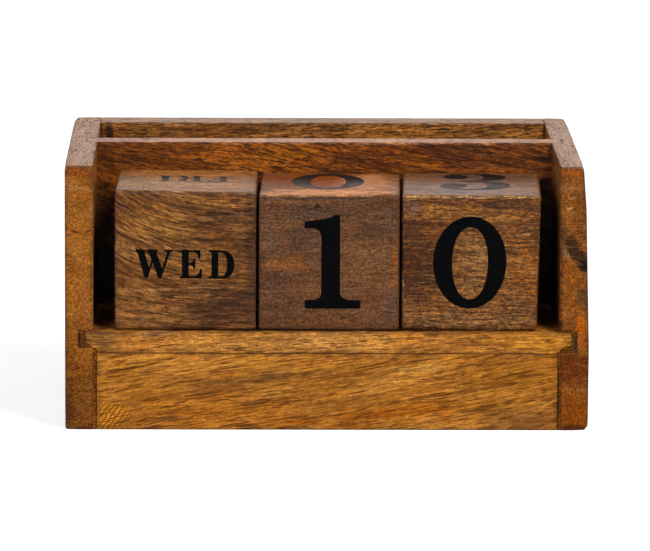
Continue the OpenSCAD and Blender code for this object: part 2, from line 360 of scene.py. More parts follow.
def marked(n, colour, place, ragged, marks):
    """Lays marks over a colour: stains, and in some rows painted shade, sheen or highlight. The note on
    WOODS says what each row of marks holds.
    """
    for x, y, z, wide, deep, high, turn, strength, *tint in marks:
        mark = n.group(OVAL_MARK, Place=place, Centre=(x, y, z), Reach=(wide, deep, high),
                       Turn=math.radians(turn), Ragged=ragged)["Mark"]
        colour = n.blend(mark * strength, colour, paint(tint))
    return colour


# What the entries of a wood mean: pale and deep are the ends of its bands; warm tints its clouds;
# pore colours the dashes; grime and worn colour the edges. All colours are linear red, green and
# blue, in thousandths. Each row of marks is a stain, or where a comment says so, painted shade, sheen
# or highlight: its centre (x, y, z), its reach along them, its turn in degrees, its strength and its
# colour. Each row of ripples is a centre, a reach, a turn, a pitch and a strength. end is the direction
# of the grain, so of the faces with end grain. bend gives the grain's arcs a centre (x, z) and a
# radius. sweep curves it: where that starts, its rate, and the heights over which it sets in. Places,
# widths, lengths and reaches are in mm. rings, lines, streaks, hairs, grit, warmth, wear, seam and
# scuffs are the strengths of what they name.
WOOD_BASE = dict(
    turn=(0, 0, 0), end=(1, 0, 0), seed=1, band=6, wander=1.2, bend=None, sweep=None, dash_length=4.5,
    dash_width=0.36, dash_share=0.5, dash_depth=0.85, dot_depth=0.3, rings=0.45, lines=0.6, streaks=0.42,
    hairs=0.3, hair_length=2.4, grit=0.17, grit_scale=1.25, warmth=0.5, end_shade=(0.75, 0.7, 0.65),
    wear=0.35, wear_reach=0.9, grime_reach=2.5, grime_depth=0.7, seam=0.2, stretch=0, scuffs=0,
    scuff_length=6, scuff_width=0.4, rough=0.4, specular=0.12, marks=(), ripples=())

# What the woods of both side panels have in common
PANEL_WOOD = dict(
    end=(0, 1, 0), wander=1.5, dash_length=3.6, dash_width=0.42, dot_depth=0.12,
    end_shade=(0.95, 0.85, 0.62), streaks=0.24, hairs=0.36, lines=0.3, rings=0.12, grit_scale=1.9,
    specular=0.06, worn=(420, 220, 90), wear=0.1, scuffs=0.3, scuff_length=5)

WOODS = {
    "front_board_wood": dict(
        seed=3, band=5, wander=0.8, bend=(-600, 3700, 3690), dash_length=6, dash_width=0.28,
        dash_share=0.56, dash_depth=0.9, grit=0.16, streaks=0.16, hairs=0.22, lines=0.85, specular=0.06,
        pale=(575, 237, 38), deep=(375, 140, 19), warm=(480, 158, 11), rings=0.6, pore=(115, 38, 6),
        grime=(70, 25, 7), worn=(550, 300, 100), wear=0.1, seam=0.8, rough=0.38,
        marks=[
            (-50, -61.5, 24, 34, 12, 4.5, 0, 0.55, 620, 270, 40),
            (-51, -61.5, 6.3, 22, 12, 6, 0, 0.6, 480, 155, 10),
            (-76.5, -61.5, 5.5, 6.5, 12, 6.5, 0, 0.8, 540, 190, 12),
            (-70, -61.5, 22.2, 12, 12, 0.5, 11, 0.85, 100, 32, 5),
            (-25, -61.5, 18.5, 27, 12, 1.8, 5, 0.7, 170, 70, 16),
            (-37, -61.5, 14.5, 14, 12, 1.4, 6, 0.65, 160, 55, 10),
            (-24.5, -61.5, 10, 7, 12, 1.2, 5, 0.75, 120, 38, 7),
            (-54.5, -61.5, 4.3, 5.5, 12, 1.1, 3, 0.7, 160, 70, 22),
            (-9, -61.5, 2.8, 13, 12, 1.1, -3, 0.7, 420, 105, 3),
            (33.5, -61.5, 22.3, 13, 12, 1.6, 6, 0.75, 640, 310, 58),
            (30, -61.5, 7, 28, 12, 2.5, 6.5, 0.75, 460, 124, 3),
            (68, -61.5, 4, 17, 12, 5, 0, 0.75, 200, 80, 20),
            (57, -61.5, 8.3, 4, 12, 1.5, 12, 0.8, 85, 28, 8),
            (64, -61.5, 15, 26, 12, 13, 0, 0.5, 360, 135, 14),
            (71, -61.5, 21, 15, 12, 6, 0, 0.5, 380, 140, 12),
            (48, -61.5, 14, 26, 12, 0.7, 9, 0.75, 120, 40, 6),
            (6, -61.5, 1, 9, 12, 1, 0, 0.5, 440, 130, 6),
            (10, -61.5, 11, 20, 12, 1.4, 8, 0.6, 200, 75, 11),
            (-62, -61.5, 12.5, 16, 12, 1.2, -2, 0.5, 270, 90, 8),
            (-67, -61.5, 19.5, 9, 12, 3.5, 0, 0.35, 160, 55, 8),
            (0, -61.5, 0, 90, 12, 0.5, 0, 0.8, 60, 22, 10)],
        ripples=[(-76.5, -61.5, 5, 6.5, 12, 7, 55, 1.5, 0.45)]),
    "shelf_wood": dict(
        turn=(0, 3, 0), seed=8, band=4.5, wander=0.9, dash_length=4.2, dash_share=0.6, streaks=0.22,
        grit=0.2, pale=(575, 238, 39), deep=(375, 138, 19), warm=(500, 165, 12), pore=(120, 38, 7),
        grime=(80, 30, 9), worn=(620, 380, 150), wear=0.2, seam=0.7, rough=0.38,
        marks=[
            (-5, -61.5, 31.5, 40, 12, 5, 0, 0.45, 550, 265, 66),
            (-81, -61.5, 32, 8, 30, 4.5, -20, 0.8, 210, 84, 18),
            (-87.4, -61.5, 33.5, 1.7, 30, 3, 0, 0.9, 40, 15, 5),
            (76, -61.5, 32, 16, 20, 6, 0, 0.7, 630, 252, 20),
            (-60, -61.5, 35, 8, 10, 1.6, 0, 0.5, 300, 180, 90),
            (-83.1, -61.5, 29.6, 3.6, 10, 0.3, -33, 0.9, 10, 4, 3),
            (83.4, -61.5, 29.15, 2.4, 10, 0.3, 44, 0.9, 10, 4, 3),
            # These rows: painted shade, near black on the top along the blocks' feet and in the gaps beside
            # them
            (0, -57, 35.4, 86, 3.5, 1, 0, 0.95, 16, 7, 4),
            (-80, -32, 35.4, 5, 27, 1.5, 0, 0.95, 12, 5, 3),
            (79.5, -32, 35.4, 5, 27, 1.5, 0, 0.95, 12, 5, 3)]),
    "left_panel_wood": dict(
        PANEL_WOOD, turn=(0, 0, -82), seed=5, dash_share=0.6, grit=0.2, pale=(400, 167, 37),
        deep=(250, 95, 17), warm=(360, 122, 13), pore=(70, 22, 7), grime=(50, 18, 8),
        marks=[
            # This row: painted sheen, the top paler and greyer
            (-88, 0, 95, 7, 75, 1, 0, 0.6, 280, 165, 112),
            (-88, -61.5, 92.2, 8, 10, 1.8, 0, 0.75, 270, 64, 8),
            (-88, -61.5, 86.5, 7, 10, 1.3, 0, 0.45, 420, 200, 85),
            (-89.8, -61.5, 71.4, 2.4, 8, 0.35, -14, 0.9, 30, 10, 4),
            (-84.6, -61.5, 71.6, 1.4, 8, 0.35, 25, 0.9, 30, 10, 4),
            (-85.5, -61.5, 42, 1.2, 10, 13, 3, 0.4, 340, 140, 55),
            (-88, -61.5, 28, 9, 14, 13, 0, 0.4, 220, 70, 6),
            (-89, -61.5, 10, 8, 14, 17, 0, 0.6, 110, 33, 3),
            (-93, -61.5, 6, 4, 14, 14, 0, 0.6, 40, 14, 5),
            (-88, -61.5, 0, 8, 14, 2, 0, 0.6, 30, 12, 6),
            # This row: painted shade, the inner face near black down in the bay beside the blocks
            (-83.2, -20, 46, 2, 38, 36, 0, 0.97, 10, 3, 2),
            # This row: painted highlight, a pale line up the front edge of the inner face
            (-83.2, -61.5, 58, 0.35, 1, 26, 0, 0.6, 400, 240, 130)],
        ripples=[(-88, -61.5, 12, 7, 10, 18, 20, 0.9, 0.4)]),
    "right_panel_wood": dict(
        PANEL_WOOD, turn=(0, 0, -98), seed=12, dash_share=0.55, dash_depth=0.8, grit=0.22,
        pale=(305, 118, 28), deep=(172, 60, 13), warm=(280, 84, 10), pore=(50, 17, 6), grime=(40, 15, 7),
        marks=[
            # This row: painted sheen, the top paler and greyer
            (88, 0, 95, 7, 75, 1, 0, 0.5, 380, 230, 155),
            (88, -61.5, 92.6, 7, 10, 0.9, 0, 0.7, 430, 105, 6),
            (87, -61.5, 88.3, 6, 10, 3.3, 0, 0.55, 230, 88, 36),
            (88, -61.5, 87.3, 7, 10, 0.5, -3, 0.6, 400, 200, 90),
            (86.5, -61.5, 83.8, 1, 8, 0.5, 0, 0.8, 500, 300, 160),
            (85.8, -61.5, 80, 1.3, 8, 0.7, 0, 0.8, 420, 240, 130),
            (87.8, -61.5, 79.7, 1.5, 8, 0.8, 0, 0.7, 60, 25, 10),
            (87.8, -61.5, 65.2, 9.5, 9, 3, -60, 0.95, 34, 18, 11),
            (91.3, -61.5, 59.5, 2.8, 9, 2.3, -45, 0.97, 5, 3, 2),
            (84.3, -61.5, 64, 3.2, 8, 1, -60, 0.75, 320, 170, 100),
            (91, -61.5, 48, 2.8, 8, 3.2, 0, 0.8, 70, 43, 22),
            (89.8, -61.5, 38, 1.9, 8, 7.5, 0, 0.9, 470, 118, 3),
            (87, -61.5, 22.5, 9, 10, 6.5, 0, 0.85, 125, 26, 0.5),
            (88, -61.5, 5.5, 9, 10, 8.5, -25, 0.85, 250, 64, 1),
            (88, -61.5, 0.6, 8, 14, 1.5, 0, 0.7, 50, 14, 3),
            (93.4, -61.5, 32, 1, 10, 30, 0, 0.65, 50, 13, 4),
            # This row: painted shade, the inner face near black down in the bay beside the blocks
            (82.4, -28, 46, 1.6, 42, 42, 0, 0.97, 10, 3, 2)],
        ripples=[(88, -61.5, 70, 7, 8, 14, 2, 1.1, 0.16)]),
    "divider_wood": dict(
        turn=(0, -9, 0), seed=21, band=4, wander=2, dash_length=4, dash_width=0.4, dash_share=0.62,
        pale=(300, 79, 8), deep=(85, 21, 4), warm=(300, 84, 5), pore=(30, 10, 4), grime=(35, 12, 5),
        worn=(320, 150, 60), wear=0.15, stretch=12, grit=0.26, hairs=0.38,
        marks=[
            (65, -2.5, 90, 22, 8, 12, 0, 0.55, 95, 30, 12),
            (-17, -2.5, 90, 20, 8, 4, 8, 0.7, 380, 115, 6),
            (19, -2.5, 90, 16, 8, 5, 0, 0.5, 76, 16, 3),
            # These rows: painted sheen, the top paler and pinkish grey at its ends
            (0, 3, 95, 96, 12, 1, 0, 0.65, 540, 236, 90),
            (-85.5, 3, 95, 2.5, 8, 1, 0, 0.85, 310, 180, 130),
            (85, 3, 95, 2.5, 8, 1, 0, 0.85, 310, 180, 130),
            # This row: painted shade, near black down the front at the bay's left end
            (-81, -2.5, 46, 6, 8, 35, 0, 0.95, 7, 3, 2),
            (-62, -2.5, 90, 24, 8, 7, 0, 0.4, 260, 72, 8),
            # This row: painted shade, near black down the front at the bay's right end
            (81, -2.5, 50, 6.5, 8, 42, 0, 0.95, 7, 3, 2),
            # These rows: painted shade, dark on the front behind the gaps between the blocks
            (-24.2, -2.5, 76.5, 2, 8, 8, 0, 0.95, 8, 4, 3),
            (28.2, -2.5, 76.5, 2, 8, 8, 0, 0.95, 8, 4, 3)]),
    "back_panel_wood": dict(
        turn=(0, 2, 0), seed=27, band=5, wander=1, dash_length=3.2, dash_width=0.42, dash_share=0.7,
        grit=0.26, hairs=0.38, pale=(365, 146, 33), deep=(200, 70, 17), warm=(300, 104, 13),
        pore=(50, 18, 6), grime=(50, 20, 8), worn=(400, 210, 90), wear=0.2,
        marks=[
            # This row: painted shade, a dark band on the face in the corner by the left panel
            (-80, 47.5, 90, 1.6, 4, 12, 0, 0.9, 20, 9, 5),
            # This row: painted sheen, the top paler and greyer
            (0, 54, 95, 95, 12, 1, 0, 0.5, 225, 124, 56)]),
    "bottom_board_wood": dict(
        seed=33, band=8, pale=(400, 195, 62), deep=(250, 110, 34), warm=(340, 138, 30),
        pore=(100, 45, 20), grime=(80, 35, 15), worn=(500, 300, 150), wear=0.1, rough=0.6),
    "weekday_block_wood": dict(
        turn=(0, -3, 0), seed=41, band=4.5, wander=0.9, sweep=(-42, 0.0085, 38, 72), dash_length=3.6,
        dash_width=0.33, dash_share=0.6, dash_depth=0.8, hair_length=3, grit=0.27, hairs=0.36,
        specular=0.08, pale=(312, 132, 36), deep=(120, 46, 13), warm=(240, 84, 16), pore=(26, 10, 5),
        grime=(50, 28, 19), worn=(300, 175, 105), wear_reach=1.4, grime_reach=5, grime_depth=0.5,
        rough=0.36,
        marks=[
            (-60, -58, 73.5, 13, 14, 5.5, -12, 0.65, 380, 162, 34),
            (-52, -58, 60, 20, 14, 8, 0, 0.35, 310, 128, 27),
            (-36, -58, 43, 14, 20, 8, 10, 0.7, 53, 21, 9),
            (-36, -58, 77, 8, 20, 2.4, -5, 0.55, 65, 37, 24),
            (-27, -58, 60, 2.4, 20, 26, 0, 0.65, 62, 28, 16),
            (-38, -58, 83, 7, 10, 1.8, 0, 0.5, 220, 68, 12),
            (-62, -58, 49.9, 12, 10, 0.5, 4, 0.55, 340, 175, 75),
            (-41, -58, 50.7, 12, 10, 0.4, -1, 0.5, 320, 165, 70),
            (-50, -58, 84.5, 30, 2, 0.5, -1, 0.6, 60, 40, 30),
            # This row: painted highlight, a pale line up the front's left edge
            (-75.6, -58, 55, 0.6, 6, 28, 0, 0.55, 300, 170, 100),
            (-50, -45, 85.4, 32, 13, 1.5, 0, 0.6, 430, 185, 60),
            (-50, -15, 85.4, 32, 17, 1.5, 0, 0.75, 430, 162, 34)]),
    "tens_block_wood": dict(
        seed=47, wander=1.5, dash_length=2.6, dash_share=0.3, dash_depth=0.65, rings=0.15, lines=0.3,
        streaks=0.12, hair_length=1.3, grit=0.34, specular=0.03, pale=(162, 75, 36), deep=(100, 46, 25),
        warm=(180, 60, 17), pore=(40, 19, 10), grime=(62, 38, 27), worn=(300, 175, 105), wear_reach=1.3,
        grime_reach=4, grime_depth=0.45, scuffs=0.5, scuff_length=4.5, scuff_width=0.33,
        marks=[
            (13, -58, 60, 9, 14, 9, 0, 0.45, 220, 98, 35),
            (-15, -58, 59.5, 9, 14, 3.2, 0, 0.55, 270, 88, 20),
            (-5, -58, 78, 9, 14, 3, 10, 0.55, 60, 41, 31),
            (-9, -58, 69, 7, 14, 4.5, 0, 0.55, 66, 41, 33),
            (-18, -58, 54, 6, 14, 4, 0, 0.5, 70, 40, 32),
            (-20, -58, 67, 4, 14, 4, 0, 0.45, 105, 64, 48),
            (15, -58, 71, 8, 14, 3, 0, 0.4, 70, 41, 30),
            (0, -58, 38, 26, 10, 3, 0, 0.4, 190, 68, 18),
            (22, -58, 44, 1.6, 10, 6, 0, 0.5, 85, 55, 55),
            (23.9, -58, 58, 1.2, 6, 8.5, 0, 0.65, 320, 95, 13),
            (0, -58, 83.2, 28, 2, 0.6, 1, 0.65, 50, 38, 33),
            (-3.6, -58, 80.4, 1, 2, 0.8, 0, 0.95, 20, 12, 8),
            (0, -26, 84.4, 30, 30, 1.7, 0, 0.85, 225, 45, 1),
            # This row: painted sheen, a pale patch on the right of the top
            (14, -30, 84.4, 11, 24, 1.5, 0, 0.7, 560, 250, 105),
            (-16, -32, 84.4, 5, 12, 1.5, 0, 0.5, 120, 45, 18),
            # This row: painted sheen along the front of the top
            (0, -57, 84.4, 28, 15, 0.9, 0, 0.8, 720, 300, 120)]),
    "units_block_wood": dict(
        turn=(0, -1, 0), seed=55, wander=0.9, dash_length=3, dash_width=0.3, dash_share=0.6,
        dash_depth=0.75, rings=0.2, lines=0.7, streaks=0.34, hairs=0.5, hair_length=1.7, grit=0.38,
        pale=(260, 106, 24), deep=(110, 41, 12), warm=(210, 62, 8), pore=(30, 11, 5), grime=(45, 22, 13),
        worn=(580, 340, 140), wear=0.6, wear_reach=1.3, grime_reach=4, grime_depth=0.4, scuffs=0.5,
        scuff_length=3.5, scuff_width=0.34,
        marks=[
            (32.5, -58, 60, 8, 16, 19, 0, 0.8, 66, 18, 4),
            (52, -58, 59, 6, 10, 15, 0, 0.45, 280, 135, 42),
            (50, -58, 39.5, 27, 10, 4.5, 0, 0.55, 270, 122, 39),
            (71, -58, 58, 6, 14, 13, 0, 0.55, 310, 92, 10),
            (66, -58, 80.5, 12, 8, 1.8, 0, 0.65, 70, 28, 11),
            (30, -58, 80, 3.5, 10, 3, 0, 0.5, 120, 80, 55),
            (52, -58, 83.55, 26, 1.5, 0.45, 0, 0.75, 620, 340, 120),
            # This row: painted sheen, a pale grey patch on the top, left of its middle
            (46, -45, 84.4, 20, 14, 1.5, 0, 0.6, 170, 125, 118),
            (50, -16, 84.7, 30, 17, 1.5, 0, 0.7, 100, 47, 28)]),
}


def wood_material(name, low, high, thinning=None, stood=None):
    """Stained and finished wood, as WOODS describes it, on a board between two corners.

    thinning is the X of the face that a board was planed towards. stood is how a block stands on the
    shelf: the point it is turned about, and the angle.
    """
    wood = {**WOOD_BASE, **WOODS[name]}
    tint = {part: paint(wood[part]) for part in ("pale", "deep", "warm", "pore", "grime", "worn")}
    material, n, shader = start_material(name)
    place, normal = millimetres(n)
    if stood:
        place = n.turned(place, stood[1], "Z_AXIS", stood[0])
    grain = place
    if wood["bend"]:
        # The grain follows wide arcs round a far centre, seen from the front
        centre_x, centre_z, radius = wood["bend"]
        x, y, z = n.parts(place)
        across, above = x - centre_x, centre_z - z
        along = n.math("ARCTAN2", across, above) * radius
        away = n.vector("LENGTH", n.joined(across, 0.0, above), out=1)
        grain = n.joined(along, y, away * -1.0)
    if wood["sweep"]:
        start_x, rate, fade_low, fade_high = wood["sweep"]
        x, y, z = n.parts(place)
        left_of = n.math("MAXIMUM", start_x - x, 0.0)
        grain = n.joined(x, y, z - left_of * left_of * rate * n.ramp(z, fade_low, fade_high))
    grain = n.add("ShaderNodeVectorRotate", {"Vector": grain,
                  "Rotation": [math.radians(a) for a in wood["turn"]]}, rotation_type="EULER_XYZ")
    figure = n.group(WOOD_FIGURE, Place=grain, **{key: wood[key] for key in (
        "seed", "band", "wander", "dash_length", "dash_width", "dash_share", "hair_length", "grit_scale")})
    squared = place
    if thinning:
        x, y, z = n.parts(place)
        share = (n.straight(z, PLANED_FROM, PLANED_TO, 1.0, 1.0 - PANEL_PLANED)
                 - n.straight(z, PLANED_TO, ROUNDED_TO, 0.0, PANEL_ROUNDED))
        squared = n.joined((x - thinning) / share + thinning, y, z)
    wear = n.group(EDGE_WEAR, Place=squared, Low=(low[0] - wood["stretch"], *low[1:]),
                   High=(high[0] + wood["stretch"], *high[1:]),
                   **{key: wood[key] for key in ("seed", "wear_reach", "wear", "grime_reach")})

    colour = n.blend(figure["Bands"], tint["deep"], tint["pale"])
    colour = n.blend(figure["Clouds"] * wood["warmth"], colour, tint["warm"])
    lines, hairs, grit = (n.straight(figure[part], 0, 1, 1 - wood[part.lower()], 1 + wood[part.lower()])
                          for part in ("Streaks", "Hairs", "Grit"))
    ragged = n.noise(place * (0.16, 0.4, 0.4), 1.0, 3.0, 0.65)
    colour = marked(n, colour, place, ragged, wood["marks"]) * grey(n, lines * hairs * grit)
    for x, y, z, wide, deep, tall, turn, pitch, strength in wood["ripples"]:
        mark = n.group(OVAL_MARK, Place=place, Centre=(x, y, z), Reach=(wide, deep, tall),
                       Ragged=ragged)["Mark"]
        ripple = n.group(RIPPLES, Place=place, Turn=math.radians(turn), Pitch=pitch, Ragged=ragged,
                         Strength=mark * strength)["Shade"]
        colour = colour * grey(n, ripple)
    lined = n.math("MAXIMUM", figure["Rings"] * wood["rings"], figure["Lines"] * wood["lines"])
    colour = n.blend(lined, colour, colour * DARK_LINE)
    facing = n.ramp(n.math("ABSOLUTE", n.vector("DOT_PRODUCT", normal, wood["end"], out=1)), *END_GRAIN)
    open_pores = figure["Dashes"] * n.ramp(facing, 0, 1, wood["dash_depth"], wood["dot_depth"])
    colour = n.blend(open_pores, colour, tint["pore"])
    colour = n.blend(facing, colour, colour * wood["end_shade"])
    colour = n.blend(wear["Grime"] * wood["grime_depth"], colour, tint["grime"])
    if wood["scuffs"]:
        scuffs = n.group(SCUFFS, Place=place, Seed=wood["seed"], Length=wood["scuff_length"],
                         Width=wood["scuff_width"])["Scuffs"]
        colour = n.blend(scuffs * wood["scuffs"], colour, tint["worn"])
    colour = n.blend(wear["Worn"] * WORN_BARE, colour, tint["worn"])
    colour = n.blend(n.ramp(wear["Edge"], *SEAM, 0.0, wood["seam"]), colour, tint["grime"])

    rough = n.straight(figure["Hairs"], 0, 1, wood["rough"] - 0.05, wood["rough"] + 0.07)
    open_wood = n.math("MAXIMUM", wear["Worn"], figure["Dashes"])
    height = figure["Hairs"] * 0.4 - figure["Dashes"] + figure["Streaks"] * 0.5 - wear["Worn"] * 0.6
    n.fill(shader.inputs, Base_Color=colour, Roughness=rough + open_wood * WORN_DULL,
           Specular_IOR_Level=wood["specular"], Normal=n.bump(height, 0.5, PORE_BUMP))
    return material


def putty_material(name, dark, light, patchy, marks):
    """Dark wood putty: gritty, dull, uneven in colour, and stained where marks say so."""
    material, n, shader = start_material(name)
    place = millimetres(n)[0]
    grit = n.noise(place, 1.5, 3.0, 0.7)
    patch = n.noise(place, 0.22, 2.0)
    colour = n.blend(n.ramp(grit, 0.42, 0.58), paint(dark), paint(light))
    colour = n.blend(n.ramp(patch, 0.4, 0.65, 0.0, 0.6), colour, paint(patchy))
    n.fill(shader.inputs, Base_Color=marked(n, colour, place, grit, marks),
           Roughness=n.ramp(grit, 0.3, 0.7, 0.6, 0.85), Specular_IOR_Level=0.03,
           Normal=n.bump(grit, 0.6, 0.15 * MM))
    return material


def brad_material():
    """Bright wire brads, gone grey, with a few rust freckles."""
    material, n, shader = start_material("brad_steel")
    place = millimetres(n)[0]
    speck = n.ramp(n.noise(place, 2.6, 3.0, 0.65), 0.55, 0.66)
    drawn = n.noise(place * (0.6, 6.0, 6.0), 1.0, 2.0)
    steel = n.blend(drawn, paint((300, 290, 280)), paint((520, 510, 500)))
    n.fill(shader.inputs, Base_Color=n.blend(speck, steel, paint((160, 60, 22))),
           Metallic=n.ramp(speck, 0, 1, 1.0, 0.25), Roughness=n.ramp(drawn, 0.3, 0.7, 0.32, 0.5))
    return material


def ink_material():
    """Worn black printing ink: tiny specks of wood show through, and hairlines follow the grain."""
    material, n, shader = start_material("printed_ink")
    place, normal = millimetres(n)
    speck = n.ramp(n.noise(place, 2.2, 2.0, 0.6), 0.68, 0.75)
    hairline = n.noise(place * (0.3, 2.2, 2.2), 1.0, 2.0, 0.6)
    lost = n.math("MAXIMUM", speck, n.ramp(hairline, 0.72, 0.8, 0.0, 0.7))
    black = n.blend(n.noise(place, 0.35, 2.0), paint((0.9, 1.2, 1.8)), paint((2.2, 2.2, 2.4)))
    # The ink on the tops is paler towards their front edges: partly worn thin by handling, partly painted
    # sheen
    patchy = n.ramp(n.noise(place, 0.11, 2.0), 0.36, 0.56, 0.45, 1.0)
    rubbed_and_sheen = n.ramp(n.parts(normal)[2], *TOP_FACING) * patchy
    rubbed_and_sheen = rubbed_and_sheen * n.ramp(n.parts(place)[1], *RUBBED_AND_SHEEN, 0.15, 1.0)
    black = n.blend(rubbed_and_sheen, black, paint((72, 50, 44)))
    n.fill(shader.inputs, Base_Color=n.blend(lost, black, paint((60, 45, 38))),
           Roughness=n.ramp(hairline, 0.3, 0.7, 0.36, 0.55), Specular_IOR_Level=0.02,
           Normal=n.bump(hairline, 0.3, 0.05 * MM))
    return material


# ---- boards and blocks

EDGE_LINES = np.array([0.0, 0.15, 0.35, 0.6, 0.95, 1.4, 2.1]) * MM     # their distances from an end


def grid_lines(low, high, step):
    """Places of the grid lines along one side: close together near both ends."""
    ends = EDGE_LINES[EDGE_LINES < (high - low) / 2]
    inner_low = low + ends[-1]
    inner_high = high - ends[-1]
    count = max(1, round((inner_high - inner_low) / step))
    middle = np.linspace(inner_low, inner_high, count + 1)[1:-1]
    return np.concatenate([low + ends, middle, (high - ends)[::-1]])


def box_grid(name, low, high, step):
    """A closed box whose six faces share one grid of quads."""
    lines = [grid_lines(low[a], high[a], step) for a in range(3)]
    counts = [len(row) for row in lines]
    quads = []
    for a in range(3):
        b, c = (a + 1) % 3, (a + 2) % 3
        ib, ic = np.meshgrid(np.arange(counts[b] - 1), np.arange(counts[c] - 1), indexing="ij")
        for side in (0, counts[a] - 1):
            corners = []
            ring = ((0, 0), (1, 0), (1, 1), (0, 1)) if side else ((0, 0), (0, 1), (1, 1), (1, 0))
            for db, dc in ring:
                index = [None, None, None]
                index[a] = np.full(ib.shape, side)
                index[b] = ib + db
                index[c] = ic + dc
                corners.append((index[0] * counts[1] + index[1]) * counts[2] + index[2])
            quads.append(np.stack(corners, axis=-1).reshape(-1, 4))
    quads = np.concatenate(quads)
    used, faces = np.unique(quads, return_inverse=True)
    faces = faces.reshape(quads.shape)
    points = np.stack([lines[0][used // (counts[1] * counts[2])],
                       lines[1][used // counts[2] % counts[1]],
                       lines[2][used % counts[2]]], axis=1)
    mesh = bpy.data.meshes.new(name)
    mesh.from_pydata(points.tolist(), [], faces.tolist())
    mesh.shade_smooth()
    return mesh, points


def make_worn_wood():
    """Geometry Nodes: rounds a box grid's edges, chips them and makes its faces a little uneven."""
    group, n, given, result = new_group("worn wood", "GeometryNodeTree", {
        "Geometry": "Geometry", "Low": HERE, "High": HERE, "Chip depth": 0.4 * MM,
        "Unevenness": 0.05 * MM, "Seed": 0.0, "Finish": "Material"}, ("Geometry",))
    place, low, high = n.add("GeometryNodeInputPosition", {}), given["Low"], given["High"]

    def held(least, most):
        """Every point's place, held between two corners."""
        return n.vector("MAXIMUM", n.vector("MINIMUM", place, most), least)

    radius = n.add("GeometryNodeInputNamedAttribute", {"Name": "edge_round"}, data_type="FLOAT")
    radius = radius * (n.noise(place, ROUND_NOISE, 2.0, w=given["Seed"]) * 0.8 + 0.6)
    core = held(low + grey(n, radius), high - grey(n, radius))
    rounded = core + n.scaled(n.vector("NORMALIZE", place - core), radius)
    # Distance to the nearest edge of the box
    x, y, z = n.parts(n.vector("MINIMUM", place - low, high - place))
    edge = x + y + z - n.math("MAXIMUM", n.math("MAXIMUM", x, y), z)
    near = n.ramp(edge, *CHIP_REACH)
    chip = n.ramp(n.noise(place, CHIP_NOISE, 2.0, 0.6, w=given["Seed"]), 0.60, 0.76)
    wave = n.noise(place, WAVE_NOISE, 2.0, w=given["Seed"])
    depth = near * chip * given["Chip depth"] + wave * given["Unevenness"]
    inward = n.vector("NORMALIZE", held(low + CORE_IN, high - CORE_IN) - place)
    moved = rounded + n.scaled(inward, depth)
    shape = n.add("GeometryNodeSetPosition", {"Geometry": given["Geometry"], "Position": moved})
    shape = n.add("GeometryNodeRealizeInstances", {"Geometry": shape})
    shape = n.add("GeometryNodeSetMaterial", {"Geometry": shape, "Material": given["Finish"]})
    n.fill(result, Geometry=shape)
    return group


WORN_WOOD = make_worn_wood()


def link_new(name, mesh):
    """A new object of the scene."""
    made = bpy.data.objects.new(name, mesh)
    bpy.context.scene.collection.objects.link(made)
    return made


def apply_modifiers(piece):
    """Gives a piece the plain mesh that its modifiers make, and takes them off."""
    graph = bpy.context.evaluated_depsgraph_get()
    mesh = bpy.data.meshes.new_from_object(piece.evaluated_get(graph), depsgraph=graph)
    piece.modifiers.clear()
    piece.data = mesh
    return mesh


def worn_piece(name, node, body, material, low, high, step, edge_round, seed,
               chips=0.4, uneven=0.05, reshape=None, cutter=None):
    """A board or block with worn edges between two corners. It stands for a CAD node.

    reshape moves its points, and cutter is cut out of it, where they are given.
    """
    mesh, points = box_grid(name, low, high, step)
    rounds = mesh.attributes.new("edge_round", "FLOAT", "POINT")
    rounds.data.foreach_set("value", edge_round(points).astype(np.float32))
    piece = link_new(name, mesh)
    worn = piece.modifiers.new("worn wood", "NODES")
    worn.node_group = WORN_WOOD
    values = {"Low": low, "High": high, "Chip depth": chips * MM, "Unevenness": uneven * MM,
              "Seed": seed, "Finish": material}
    for item in WORN_WOOD.interface.items_tree:
        if item.in_out == "INPUT" and item.name in values:
            worn[item.identifier] = values[item.name]
    if reshape:
        mesh = apply_modifiers(piece)
        moved = np.empty(len(mesh.vertices) * 3, np.float32)
        mesh.vertices.foreach_get("co", moved)
        moved = reshape(moved.reshape(-1, 3))
        mesh.vertices.foreach_set("co", moved.ravel())
        mesh.update()
    if cutter:
        cut = piece.modifiers.new("cut", "BOOLEAN")
        cut.operation = "DIFFERENCE"
        cut.solver = "EXACT"
        cut.use_self = True
        cut.object = cutter
    apply_modifiers(piece).name = name
    if cutter:
        bpy.data.objects.remove(cutter)
    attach(piece, body)
    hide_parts(node)


def even_round(radius):
    """The same rounding, in mm, on every edge."""
    return lambda points: np.full(len(points), radius * MM)


OUTER_REACH = 5 * MM        # how far the heavy rounding of a side panel reaches in from its outer face,
CORNER_REACH = 16 * MM      # from its upper corners
FOOT_REACH = 6 * MM         # and up from its foot


def panel_round(outer_x, foot_round):
    """Rounding of a side panel: small on the inner edges, largest at the outer corners of the top."""
    def rule(points):
        outer = np.clip(1.0 - np.abs(points[:, 0] - outer_x) / OUTER_REACH, 0.0, 1.0)
        from_end = np.minimum(points[:, 1] - left_low.y, left_high.y - points[:, 1])
        corner = np.clip(1.0 - from_end / CORNER_REACH, 0.0, 1.0)
        corner = corner * np.clip(1.0 - (CASE_HEIGHT - points[:, 2]) / CORNER_REACH, 0.0, 1.0)
        foot = np.clip(1.0 - points[:, 2] / FOOT_REACH, 0.0, 1.0)
        return (0.2 + outer * (0.8 + 1.1 * corner + foot_round * foot)) * MM
    return rule


ROUND = 24      # sides of the cylinders that stand for round holes


